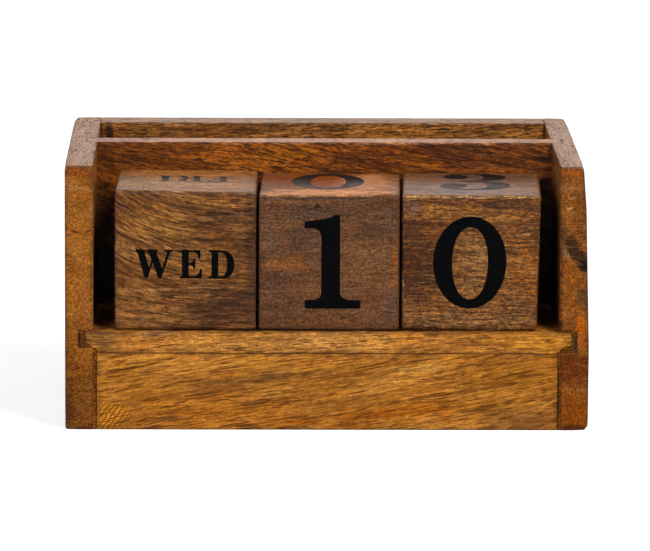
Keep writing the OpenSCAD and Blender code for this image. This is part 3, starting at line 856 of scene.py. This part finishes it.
def cutter_from_boxes(name, boxes, cylinders):
    """A closed box or cylinder for every entry of two lists, in one mesh. Cylinders lie along X."""
    points, faces = [], []
    for low, high in boxes:
        start = len(points)
        points += itertools.product(*zip(low, high))
        faces += [[start + i for i in ring] for ring in
                  ((0, 1, 3, 2), (4, 6, 7, 5), (0, 4, 5, 1), (2, 3, 7, 6), (0, 2, 6, 4), (1, 5, 7, 3))]
    turns = [2 * math.pi * k / ROUND for k in range(ROUND)]
    for x_low, x_high, y, z, radius in cylinders:
        start = len(points)
        for x in (x_low, x_high):
            points += [(x, y + radius * math.cos(a), z + radius * math.sin(a)) for a in turns]
        end = start + ROUND
        faces.append([start + k for k in reversed(range(ROUND))])
        faces.append([end + k for k in range(ROUND)])
        faces += [[start + k, start + (k + 1) % ROUND, end + (k + 1) % ROUND, end + k]
                  for k in range(ROUND)]
    mesh = bpy.data.meshes.new(name)
    mesh.from_pydata(points, [], faces)
    cutter = link_new(name, mesh)
    cutter.hide_render = True
    return cutter


BRAD_APART = 6 * MM     # two brads stand farther apart than this
SAME_BRAD = 2 * MM      # two centres nearer than this are one brad's


def brad_places(node):
    """X of the heads' outer side, Y and Z of each brad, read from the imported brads."""
    points = np.array([v.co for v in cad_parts[node].data.vertices])
    outward = -1.0 if node.startswith("left") else 1.0
    places = []
    for y, z in sorted({(round(p[1], 2), round(p[2], 2)) for p in points}):
        near = points[(abs(points[:, 1] - y) < BRAD_APART) & (abs(points[:, 2] - z) < BRAD_APART)]
        centre = ((near[:, 1].min() + near[:, 1].max()) / 2, (near[:, 2].min() + near[:, 2].max()) / 2)
        head = (near[:, 0] * outward).max() * outward
        if not any(math.dist(place[1:], centre) < SAME_BRAD for place in places):
            places.append((head, centre[0], centre[1]))
    return places


def groove_bottom(side):
    """Height of the lower lip of a shelf groove, read from the putty that fills it."""
    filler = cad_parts["left_joint_filler" if side < 0 else "right_joint_filler"]
    past = abs(BAY_LEFT if side < 0 else BAY_RIGHT) + 1.5 * MM
    return min(v.co.z for v in filler.data.vertices if v.co.x * side > past)


def side_panel_cutter(side, low, high, putty):
    """Grooves and brad holes of one side panel. side is -1 for the left one and 1 for the right one."""
    face = BAY_LEFT if side < 0 else BAY_RIGHT
    ends = sorted((putty, face - side * OVER))
    bottom = groove_bottom(side)
    shelf_groove = ((ends[0], low.y - OVER, bottom), (ends[1], divider_low.y + GROOVE_CLEAR, putty_high.z))
    tongue = divider_low.x - GROOVE_CLEAR if side < 0 else divider_high.x + GROOVE_CLEAR
    ends = sorted((tongue, face - side * OVER))
    divider_groove = ((ends[0], divider_low.y - GROOVE_CLEAR, divider_low.z),
                      (ends[1], divider_high.y + GROOVE_CLEAR, high.z + OVER))
    boxes = [shelf_groove, divider_groove]
    if side > 0:
        boxes.append(((face - OVER, low.y - OVER, low.z - OVER),
                      (face + REBATE_D, putty_high.y, bottom + OVER / 2)))
    holes = []
    for head, y, z in brad_places("left_brads" if side < 0 else "right_brads"):
        ends = sorted((head - side * 0.05 * MM, head + side * (BRAD_SINK + OVER)))
        holes.append((ends[0], ends[1], y, z, BRAD_HEAD_R))
    return cutter_from_boxes("panel cutter", boxes, holes)


def thin_towards_top(points):
    """The right panel's outer face was planed thinner towards its top."""
    height = points[:, 2] / MM
    planed = ((height - PLANED_FROM) / (PLANED_TO - PLANED_FROM)).clip(0, 1)
    rounded = ((height - PLANED_TO) / (ROUNDED_TO - PLANED_TO)).clip(0, 1)
    share = 1.0 - PANEL_PLANED * planed - PANEL_ROUNDED * rounded
    points[:, 0] = BAY_RIGHT + (points[:, 0] - BAY_RIGHT) * share
    return points


def bevel_shelf_ends(points):
    """Cuts the bevels under both ends of the shelf, down to their tongues."""
    full = shelf_high.z - shelf_low.z
    depth = np.full(len(points), full)
    for (tongue, flat, run), from_end in ((LEFT_TONGUE, points[:, 0] - shelf_low.x),
                                          (RIGHT_TONGUE, shelf_high.x - points[:, 0])):
        rise = ((from_end - flat) / run).clip(0.0, 1.0)
        depth = np.minimum(depth, tongue + (full - tongue) * rise)
    points[:, 2] = shelf_high.z - (shelf_high.z - points[:, 2]) * depth / full
    return points


def standing_block(node):
    """A block's box before it is turned on the shelf, the point it is turned about, and the angle."""
    low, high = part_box(node)
    turn = math.radians(BLOCK_TURNS[node])
    wide = high.x - low.x - 2 * BLOCK_EDGE_R
    deep = high.y - low.y - 2 * BLOCK_EDGE_R
    width = (wide * math.cos(turn) - deep * math.sin(turn)) / math.cos(2 * turn) + 2 * BLOCK_EDGE_R
    depth = (deep * math.cos(turn) - wide * math.sin(turn)) / math.cos(2 * turn) + 2 * BLOCK_EDGE_R
    front = (low + high) / 2 - Vector((math.sin(turn), math.cos(turn), 0.0)) * (depth / 2)
    return (Vector((front.x - width / 2, front.y, low.z)),
            Vector((front.x + width / 2, front.y + depth, high.z)), front, turn)


def settle(block, points):
    """Sets a block's points out of square, as it was sawn, and turns it on the shelf."""
    low, high, front, turn = blocks[block]
    across = (points[:, 0] - low.x) / (high.x - low.x)
    back = (points[:, 1] - low.y) / (high.y - low.y)
    fl, fr, bl, br = (fall * MM for fall in TOP_FALLS[block])
    fall = (fl + (fr - fl) * across) * (1.0 - back) + (bl + (br - bl) * across) * back
    up = (points[:, 2] - low.z) / (high.z - low.z)
    points[:, 0] -= across * (1.0 - up) * (FOOT_DRAWN_IN[block] * MM)
    points[:, 2] = low.z + (points[:, 2] - low.z) * (1.0 - fall / (high.z - low.z))
    x, y = points[:, 0] - front.x, points[:, 1] - front.y
    points[:, 0], points[:, 1] = (front.x + x * math.cos(turn) + y * math.sin(turn),
                                  front.y - x * math.sin(turn) + y * math.cos(turn))
    return points


def corners_mm(low, high):
    """Two corners in millimetres, as the materials count."""
    return tuple(low * 1000), tuple(high * 1000)


full_right_high = Vector((-left_low.x, right_high.y, right_high.z))

worn_piece("left_panel", "left_side_panel", "case",
           wood_material("left_panel_wood", *corners_mm(left_low, left_high)),
           left_low, left_high, BOARD_STEP, panel_round(left_low.x, 0.0), 2.0,
           cutter=side_panel_cutter(-1, left_low, left_high, putty_low.x))
worn_piece("right_panel", "right_side_panel", "case",
           wood_material("right_panel_wood", *corners_mm(right_low, full_right_high),
                         thinning=BAY_RIGHT * 1000),
           right_low, full_right_high, BOARD_STEP, panel_round(full_right_high.x, 1.2), 4.0,
           reshape=thin_towards_top,
           cutter=side_panel_cutter(1, right_low, right_high, right_putty_high.x))

for name, node, wood, slot, radius, seed, chips, reshape in (
        ("front_rail", "front_board", "front_board_wood", "front_wood", 0.35, 6.0, 0.35, None),
        ("shelf", "block_shelf", "shelf_wood", "front_wood", 0.35, 7.0, 0.35, bevel_shelf_ends),
        ("divider_board", "divider", "divider_wood", "divider_wood", 0.5, 8.0, 0.6, None),
        ("rear_panel", "back_panel", "back_panel_wood", "back_wood", 0.6, 9.0, 0.6, None)):
    low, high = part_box(node)
    worn_piece(name, node, "case", wood_material(wood, *corners_mm(low, high)), low, high,
               BOARD_STEP, even_round(radius), seed, chips=chips, reshape=reshape)

blocks = {}
for node, radius, seed, chips in (("weekday_block", 1.2, 11.0, 0.5), ("tens_block", 1.1, 12.0, 0.5),
                                  ("units_block", 1.3, 13.0, 0.8)):
    blocks[node] = standing_block(node)
    low, high, front, turn = blocks[node]
    material = wood_material(node + "_wood", *corners_mm(low, high), stood=(tuple(front * 1000), turn))
    worn_piece(node + "_cube", node, node, material, low, high, BLOCK_STEP,
               even_round(radius), seed, chips=chips, uneven=0.06,
               reshape=lambda points, block=node: settle(block, points))

# The putties' marks are rows like those of WOODS
LEFT_PUTTY = putty_material("left_putty", (70, 20, 3), (330, 93, 6), (85, 30, 8), (
    (-86.5, -61.5, 32, 4.5, 6, 4.5, 0, 0.75, 85, 30, 8), (-88.3, -61.5, 33, 0.9, 6, 3.2, 0, 0.85, 14, 8, 6),
    (-82.2, -61.5, 14, 0.2, 6, 13, 0, 0.7, 12, 5, 3)))
RIGHT_PUTTY = putty_material("right_putty", (50, 16, 2), (250, 73, 4), (60, 26, 8), (
    (88.6, -61.5, 31.5, 1.2, 6, 4.2, 0, 0.85, 30, 23, 21),
    (82.35, -61.5, 14, 0.2, 6, 13, 0, 0.85, 10, 4, 2)))
BRAD_STEEL = brad_material()
BOTTOM_WOOD = wood_material("bottom_board_wood", *corners_mm(*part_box("bottom_board")))
for node, material in (("bottom_board", BOTTOM_WOOD), ("left_joint_filler", LEFT_PUTTY),
                       ("right_joint_filler", RIGHT_PUTTY), ("left_brads", BRAD_STEEL),
                       ("right_brads", BRAD_STEEL)):
    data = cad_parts[node].data
    data.materials.clear()
    data.materials.append(material)


# ---- printed numbers and day names

# Outlines of the signs, with a cap height of 100. The first loop is the outside, the others are holes.
SIGNS = {
    "0": ["M40,100 C63,100 79,77 79,50 C79,23 63,0 40,0 C17,0 0,23 0,50 C0,77 17,100 40,100",
          "M40.5,88.5 C51,88.5 59,74 59,50 C59,25 51,10 40,10 C29,10 20.5,25 20.5,50 C20.5,74 29,88.5 "
          "40.5,88.5"],
    "1": ["M38.2,99 33,100 C28,97 24,95.8 17,95 L0,92.9 0,86 9,85.6 C15,85 18,82 18.1,75 L18.1,17 C18,13 "
          "16.5,10.8 12,9.8 L0.5,8.8 0.5,0 60,0 60,8.6 46,9.6 C41,10.7 38.7,13.3 38.4,17"],
    "2": ["M4,0 72,0 72,27 67,27 C66,19 63,17 56,17 L27,17 C49,34 72,47 72,71 C72,90 57,100 37,100 "
          "C16,100 4,89 4,74 C4,65 9,59 17,59 C25,59 30,64 30,71 C30,78 26,81 24,84 C25,90 29,95 35,95 "
          "C44,95 48,88 48,73 C48,52 30,34 4,7"],
    "3": ["M6,76 C6,92 18,100 38,100 C60,100 75,91 75,76 C75,64 66,56 50,53 C68,50 79,42 79,27 C79,10 "
          "63,0 37,0 C16,0 2,8 2,23 C2,32 9,38 18,38 C27,38 32,33 32,26 C32,19 28,16 23,13 C22,8 28,5 "
          "35,5 C47,5 54,13 54,27 C54,42 46,50 30,50 L24,50 24,55 30,55 C43,55 50,62 50,76 C50,89 45,95 "
          "36,95 C29,95 24,93 22,90 C28,88 33,84 33,77 C33,70 28,65 20,65 C11,65 6,70 6,76"],
    "4": ["M46,100 63,100 63,36 78,36 78,29 63,29 63,6 74,5 74,0 30,0 30,5 42,6 42,29 0,29 0,36",
          "M42,82 42,36 9,36"],
    "5": ["M11,100 C20,96 31,95 40,95 C50,95 59,96 65,100 L68,100 C68,86 57,79 39,79 C29,79 21,80 15,82 "
          "L13,60 C21,65 29,67 38,67 C60,67 73,54 73,34 C73,12 58,0 35,0 C16,0 4,8 4,22 C4,31 9,36 17,36 "
          "C25,36 30,31 30,25 C30,18 25,15 22,12 C23,7 28,5 33,5 C44,5 50,14 50,33 C50,52 44,61 33,61 "
          "C25,61 18,58 13,53 L8,53"],
    "6": ["M70,80 C70,73 65,68 58,68 C51,68 45,73 45,79 C45,86 50,88 54,90 C51,94 47,95 42,95 C31,95 "
          "25,80 25,54 C30,61 37,64 45,64 C63,64 75,52 75,33 C75,13 60,0 39,0 C14,0 1,18 1,48 C1,80 "
          "17,100 42,100 C58,100 70,92 70,80",
          "M39,59 C47,59 51,50 51,32 C51,14 47,5 39,5 C30,5 26,14 26,34 C26,50 30,59 39,59"],
    "7": ["M2,100 2,70 7,70 C9,80 13,83 21,83 L58,83 C48,62 30,40 30,12 C30,3 36,0 43,0 C50,0 55,4 55,12 "
          "C55,38 61,60 74,94 L74,98 12,98 C9,98 8,99 7,100"],
    "8": ["M38,100 C59,100 71,91 71,77 C71,66 63,58 52,54 C66,48 75,40 75,26 C75,10 60,0 37,0 C15,0 2,10 "
          "2,25 C2,38 10,46 25,51 C13,57 6,65 6,76 C6,90 18,100 38,100",
          "M37,95 C28,95 23,90 23,82 C23,72 33,66 45,60 C51,65 54,70 54,77 C54,89 47,95 37,95",
          "M31,47 C22,41 19,34 19,25 C19,12 26,5 38,5 C49,5 56,11 56,21 C56,33 46,39 31,47"],
    "A": ["M46,102 52,102 86,5 95,4 95,0 52,0 52,4 62,5 54,29 23,29 15,6 27,4 27,0 0,0 0,4 9,5",
          "M25,35 52,35 39,74"],
    "D": ["M0,100 45,100 C74,100 88,80 88,50 C88,20 74,0 45,0 L0,0 0,4 10,6 10,94 0,96",
          "M31,95 41,95 C58,95 65,78 65,50 C65,22 58,5 41,5 L31,5"],
    "E": ["M0,100 72,100 72,72 68,72 C66,88 60,95 44,95 L30,95 30,54 36,54 C44,54 48,60 49,68 L53,68 "
          "53,35 49,35 C48,43 44,49 36,49 L30,49 30,5 46,5 C62,5 70,13 73,31 L78,31 76,0 0,0 0,4 9,6 "
          "9,94 0,96"],
    "F": ["M0,100 74,100 74,72 70,72 C68,88 62,95 45,95 L32,95 32,54 38,54 C46,54 50,60 51,68 L55,68 "
          "55,35 51,35 C50,43 46,49 38,49 L32,49 32,6 44,4 44,0 0,0 0,4 9,6 9,94 0,96"],
    "H": ["M0,100 44,100 44,96 34,94 34,54 66,54 66,94 56,96 56,100 100,100 100,96 90,94 90,6 100,4 "
          "100,0 56,0 56,4 66,6 66,48 34,48 34,6 44,4 44,0 0,0 0,4 10,6 10,94 0,96"],
    "I": ["M0,100 44,100 44,96 34,94 34,6 44,4 44,0 0,0 0,4 10,6 10,94 0,96"],
    "M": ["M0,100 31,100 56,30 80,100 108,100 108,96 99,94 99,6 108,4 108,0 67,0 67,4 76,6 76,84 47,0 "
          "43,0 15,82 15,6 24,4 24,0 0,0 0,4 9,6 9,94 0,96"],
    "N": ["M0,100 28,100 78,32 78,94 68,96 68,100 94,100 94,96 84,94 84,-2 78,-2 16,84 16,6 26,4 26,0 "
          "0,0 0,4 10,6 10,94 0,96"],
    "O": ["M47,102 C75,102 94,82 94,50 C94,18 75,-2 47,-2 C19,-2 0,18 0,50 C0,82 19,102 47,102",
          "M47,97 C31,97 24,82 24,50 C24,18 31,3 47,3 C63,3 70,18 70,50 C70,82 63,97 47,97"],
    "R": ["M0,100 48,100 C70,100 82,91 82,76 C82,63 73,55 56,52 C68,50 74,44 75,32 L76,14 C76.5,8 78,6 "
          "81,6 C84,6 86,9 86,14 L90,14 C90,4 85,-2 74,-2 C61,-2 54,4 53,16 L52,32 C51,44 47,49 38,49 "
          "L32,49 32,6 42,4 42,0 0,0 0,4 9,6 9,94 0,96",
          "M32,95 42,95 C53,95 58,89 58,75 C58,61 53,54 42,54 L32,54"],
    "S": ["M66,100 63,100 C61,97 59,96 56,97 C50,100 44,102 37,102 C18,102 6,91 6,74 C6,58 16,50 36,44 "
          "C50,40 56,35 56,25 C56,11 47,3 35,3 C20,3 11,13 8,32 L4,32 4,0 7,0 C9,3 11,4 14,3 C20,0 27,-2 "
          "36,-2 C58,-2 72,10 72,29 C72,46 62,54 42,60 C28,64 22,69 22,79 C22,90 29,97 40,97 C53,97 "
          "60,87 62,70 L66,70"],
    "T": ["M4,100 82,100 86,68 82,68 C79,88 72,95 58,95 L55,95 55,6 68,4 68,0 18,0 18,4 31,6 31,95 28,95 "
          "C14,95 7,88 4,68 L0,68"],
    "U": ["M0,100 46,100 46,96 35,94 35,32 C35,12 40,5 54,5 C70,5 76,14 76,34 L76,94 66,96 66,100 93,100 "
          "93,96 82,94 82,34 C82,10 70,-2 47,-2 C22,-2 11,9 11,32 L11,94 0,96"],
    "W": ["M0,100 34,100 34,96 28,94 47,33 57.2,63.7 46,94 40,96 40,100 76,100 76,96 70,94 93.3,30 "
          "113,94 103,96 103,100 130,100 130,96 121,94 89,0 80,0 59.8,56.4 41,0 32,0 6,94 0,96"],
}


SAME_POINT = 0.05    # points of an outline nearer than this are one


def outline_points(path, steps=8):
    """Points along one loop of a sign: M and L go straight, C is a cubic curve."""
    points = []
    curve = []
    in_curve = False
    for token in path.split():
        if token[0] in "MLC":
            in_curve = token[0] == "C"
            token = token[1:]
        x, y = (float(v) for v in token.split(","))
        if not in_curve:
            points.append((x, y))
            continue
        curve.append((x, y))
        if len(curve) == 3:
            p0 = points[-1]
            for k in range(1, steps + 1):
                t = k / steps
                a, b, c, d = (1 - t) ** 3, 3 * t * (1 - t) ** 2, 3 * t * t * (1 - t), t ** 3
                points.append(tuple(a * p + b * q + c * r + d * s for p, q, r, s in zip(p0, *curve)))
            curve = []
    clean = [points[0]]
    for point in points[1:]:
        if math.dist(point, clean[-1]) > SAME_POINT:
            clean.append(point)
    if math.dist(clean[0], clean[-1]) < SAME_POINT:
        clean.pop()
    return clean


def bolder(loop, by):
    """The same loop with every edge moved outwards by a distance, inwards if it is negative."""
    ring = [Vector(point) for point in loop]
    area = sum(p.x * q.y - q.x * p.y for p, q in zip(ring, ring[1:] + ring[:1]))
    by = by if area > 0 else -by
    moved = []
    for before, here, after in zip(ring[-1:] + ring[:-1], ring, ring[1:] + ring[:1]):
        into = (here - before).normalized()
        away = (after - here).normalized()
        side = Vector((into.y + away.y, -into.x - away.x))
        here = here + side * (by / max(1.0 + into.dot(away), 0.4))
        moved.append((here.x, here.y))
    return moved


def sign_shell(sign, origin, right, up, height, narrow, bold, points, faces):
    """Adds a thin closed shell for one sign, half sunk in the block's face."""
    scale = height / 100.0
    across = right * (scale * narrow)
    out = right.cross(up)
    loops = [outline_points(path) for path in SIGNS[sign]]
    loops = [bolder(loop, -bold if number else bold) for number, loop in enumerate(loops)]
    flat = [p for loop in loops for p in loop]
    triangles = tessellate_polygon([[Vector((x, y, 0.0)) for x, y in loop] for loop in loops])
    start = len(points)
    count = len(flat)
    for level in (INK_PROUD, -INK_SUNK):
        points.extend(origin + across * x + up * (y * scale) + out * level for x, y in flat)
    for a, b, c in triangles:
        (ax, ay), (bx, by), (cx, cy) = flat[a], flat[b], flat[c]
        if (bx - ax) * (cy - ay) - (by - ay) * (cx - ax) < 0:
            b, c = c, b
        faces.append((start + a, start + b, start + c))
        faces.append((start + count + a, start + count + c, start + count + b))
    at = start
    for number, loop in enumerate(loops):
        area = sum(p[0] * q[1] - q[0] * p[1] for p, q in zip(loop, loop[1:] + loop[:1]))
        outward = (area > 0) == (number == 0)
        for k in range(len(loop)):
            i, j = at + k, at + (k + 1) % len(loop)
            ring = (i, i + count, j + count, j)
            faces.append(ring if outward else ring[::-1])
        at += len(loop)


def sign_width(sign):
    """Width of a sign's outline, in hundredths of its height."""
    return max(x for path in SIGNS[sign] for x, y in outline_points(path))


INK_PROUD = 0.02 * MM
INK_SUNK = 0.35 * MM
INK = ink_material()

# Right and up of the writing on each face, as its reader sees it
FACE_AXES = {
    "front": ((1, 0, 0), (0, 0, 1)), "back": ((-1, 0, 0), (0, 0, 1)),
    "left": ((0, -1, 0), (0, 0, 1)), "right": ((0, 1, 0), (0, 0, 1)),
    "top": ((1, 0, 0), (0, 1, 0)), "top_turned": ((-1, 0, 0), (0, -1, 0)),
    "bottom": ((1, 0, 0), (0, -1, 0))}


def printed_word(block, label, word, face, height, gap=0.2, aside=0.0, lift=0.0, bold=0.0, narrow=1.0):
    """Prints a word on a block's face. height, and aside and lift from the face's middle, are in mm."""
    height, aside, lift = height * MM, aside * MM, lift * MM
    low, high = blocks[block][:2]
    right, up = (Vector(v) for v in FACE_AXES[face])
    out = right.cross(up)
    centre = (low + high) / 2 + Vector([out[a] * (high[a] - low[a]) / 2 for a in range(3)])
    advance = [sign_width(sign) * height * narrow / 100 for sign in word]
    width = sum(advance) + gap * height * (len(word) - 1)
    pen = centre + right * (aside - width / 2) + up * (lift - height / 2)
    points, faces = [], []
    for sign, step in zip(word, advance):
        sign_shell(sign, pen, right, up, height, narrow, bold, points, faces)
        pen = pen + right * (step + gap * height)
    mesh = bpy.data.meshes.new(label)
    mesh.from_pydata(settle(block, np.array(points)).tolist(), [], faces)
    mesh.materials.append(INK)
    piece = link_new(label, mesh)
    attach(piece, block)


# Every word and number: its face, its height, and where they differ from most, the gap between its
# letters as a share of its height, how far it stands aside and up for its reader, how much bolder than
# its outlines it is, in hundredths of its height, and its width as a share of theirs
for block, label, rows in (
        ("weekday_block", "day_", (
            ("WED", "front", 10.0, 0.26, -0.15, -1.15, 1.5),
            ("FRI", "top_turned", 11.7, 0.17, -2.43, -4.1, 0.5, 0.87), ("THU", "left", 10.0, 0.22),
            ("TUE", "right", 10.0, 0.22), ("MON", "back", 10.0), ("SAT", "bottom", 10.0, 0.24, 0.0, 8.0))),
        ("tens_block", "tens_", (
            ("1", "front", 34.0, 0.2, 1.2, 0.35, 0.0, 0.975),
            ("0", "top", 36.3, 0.2, -0.85, 5.2, 0.0, 0.91), ("2", "bottom", 33.2),
            ("6", "left", 33.2), ("7", "right", 33.2), ("8", "back", 33.2))),
        ("units_block", "units_", (
            ("0", "front", 33.5, 0.2, -0.25, 0.25), ("3", "top", 36.3, 0.2, 1.0, 5.5, 0.0, 0.90),
            ("1", "left", 33.2), ("2", "right", 33.2), ("4", "back", 33.2), ("5", "bottom", 33.2)))):
    for word, *way in rows:
        printed_word(block, label + word.lower(), word, *way)


# ---- camera

scene = bpy.context.scene
scene.view_settings.view_transform = "Standard"

CAMERA_PLACE = Vector((-0.0293, -2.0110, 0.3881))
CAMERA_PITCH = math.radians(9.67)
CAMERA_YAW = math.radians(0.835)
CAMERA_ROLL = math.radians(0.281)
SENSOR = 36.0
FOCAL_SHARE = 5576.0 / 650.0    # focal length as a share of the image's width

forward = Vector((math.sin(CAMERA_YAW) * math.cos(CAMERA_PITCH),
                  math.cos(CAMERA_YAW) * math.cos(CAMERA_PITCH), -math.sin(CAMERA_PITCH)))
level = Vector((math.cos(CAMERA_YAW), -math.sin(CAMERA_YAW), 0.0))
upright = level.cross(forward)
right = level * math.cos(CAMERA_ROLL) + upright * math.sin(CAMERA_ROLL)
up = upright * math.cos(CAMERA_ROLL) - level * math.sin(CAMERA_ROLL)
lens = bpy.data.cameras.new("camera")
lens.sensor_fit = "HORIZONTAL"
lens.sensor_width = SENSOR
lens.lens = SENSOR * FOCAL_SHARE
lens.clip_end = 50.0
camera = link_new("camera", lens)
camera.matrix_world = Matrix.Translation(CAMERA_PLACE) @ Matrix((right, up, -forward)).transposed().to_4x4()
scene.camera = camera


# ---- light, floor and backdrop

def seen_background(n):
    """1 for the rays that should meet the plain white background."""
    path = n.outputs(n.tree.nodes.new("ShaderNodeLightPath"))
    seen = n.math("MAXIMUM", path["Is Camera Ray"], path["Is Glossy Ray"])
    return n.math("MAXIMUM", seen, path["Is Transmission Ray"])


def area_light(name, place, target, size, power, colour):
    """A rectangular lamp at place that shines at target. The camera doesn't see it."""
    light = bpy.data.lights.new(name, "AREA")
    light.shape = "RECTANGLE"
    light.size, light.size_y = size
    light.energy = power
    light.color = colour
    lamp = link_new(name, light)
    place = Vector(place)
    aim = (Vector(target) - place).to_track_quat("-Z", "Y")
    lamp.matrix_world = Matrix.Translation(place) @ aim.to_matrix().to_4x4()
    lamp.visible_camera = False


AMBIENT = 0.22          # strength of the white world as the object sees it
FLOOR_GLOW = 0.76       # what brings the lit floor up to the white of the background
FLOOR_HALF = 6.0        # half the floor's width

world = bpy.data.worlds.new("studio")
scene.world = world
world.use_nodes = True
n = Nodes(world.node_tree)
background = world.node_tree.nodes["Background"]
n.fill(background.inputs, Color=(1.0, 1.0, 1.0, 1.0),
       Strength=n.straight(seen_background(n), 0.0, 1.0, AMBIENT, 1.0))

area_light("key", (0.55, -0.75, 1.35), (0.0, 0.0, 0.05), (0.45, 0.45), 20.0, (1.0, 0.985, 0.96))
area_light("fill", (-0.9, -1.6, 0.6), (0.0, 0.0, 0.05), (1.2, 0.9), 12.5, (0.98, 0.99, 1.0))
area_light("rear", (0.0, 1.6, 0.75), (0.0, 0.0, 0.09), (2.0, 0.4), 4.5, (1.0, 0.99, 0.98))

floor_mesh = bpy.data.meshes.new("floor")
corners = [(x * FLOOR_HALF, y * FLOOR_HALF, 0) for x, y in ((-1, -1), (1, -1), (1, 1), (-1, 1))]
floor_mesh.from_pydata(corners, [], [(0, 1, 2, 3)])
floor = link_new("floor", floor_mesh)
floor_material, n, floor_shader = start_material("floor")
n.fill(floor_shader.inputs, Base_Color=(0.5, 0.5, 0.5, 1.0), Roughness=0.9, Specular_IOR_Level=0.1,
       Emission_Color=(1.0, 1.0, 1.0, 1.0), Emission_Strength=seen_background(n) * FLOOR_GLOW)
floor_mesh.materials.append(floor_material)
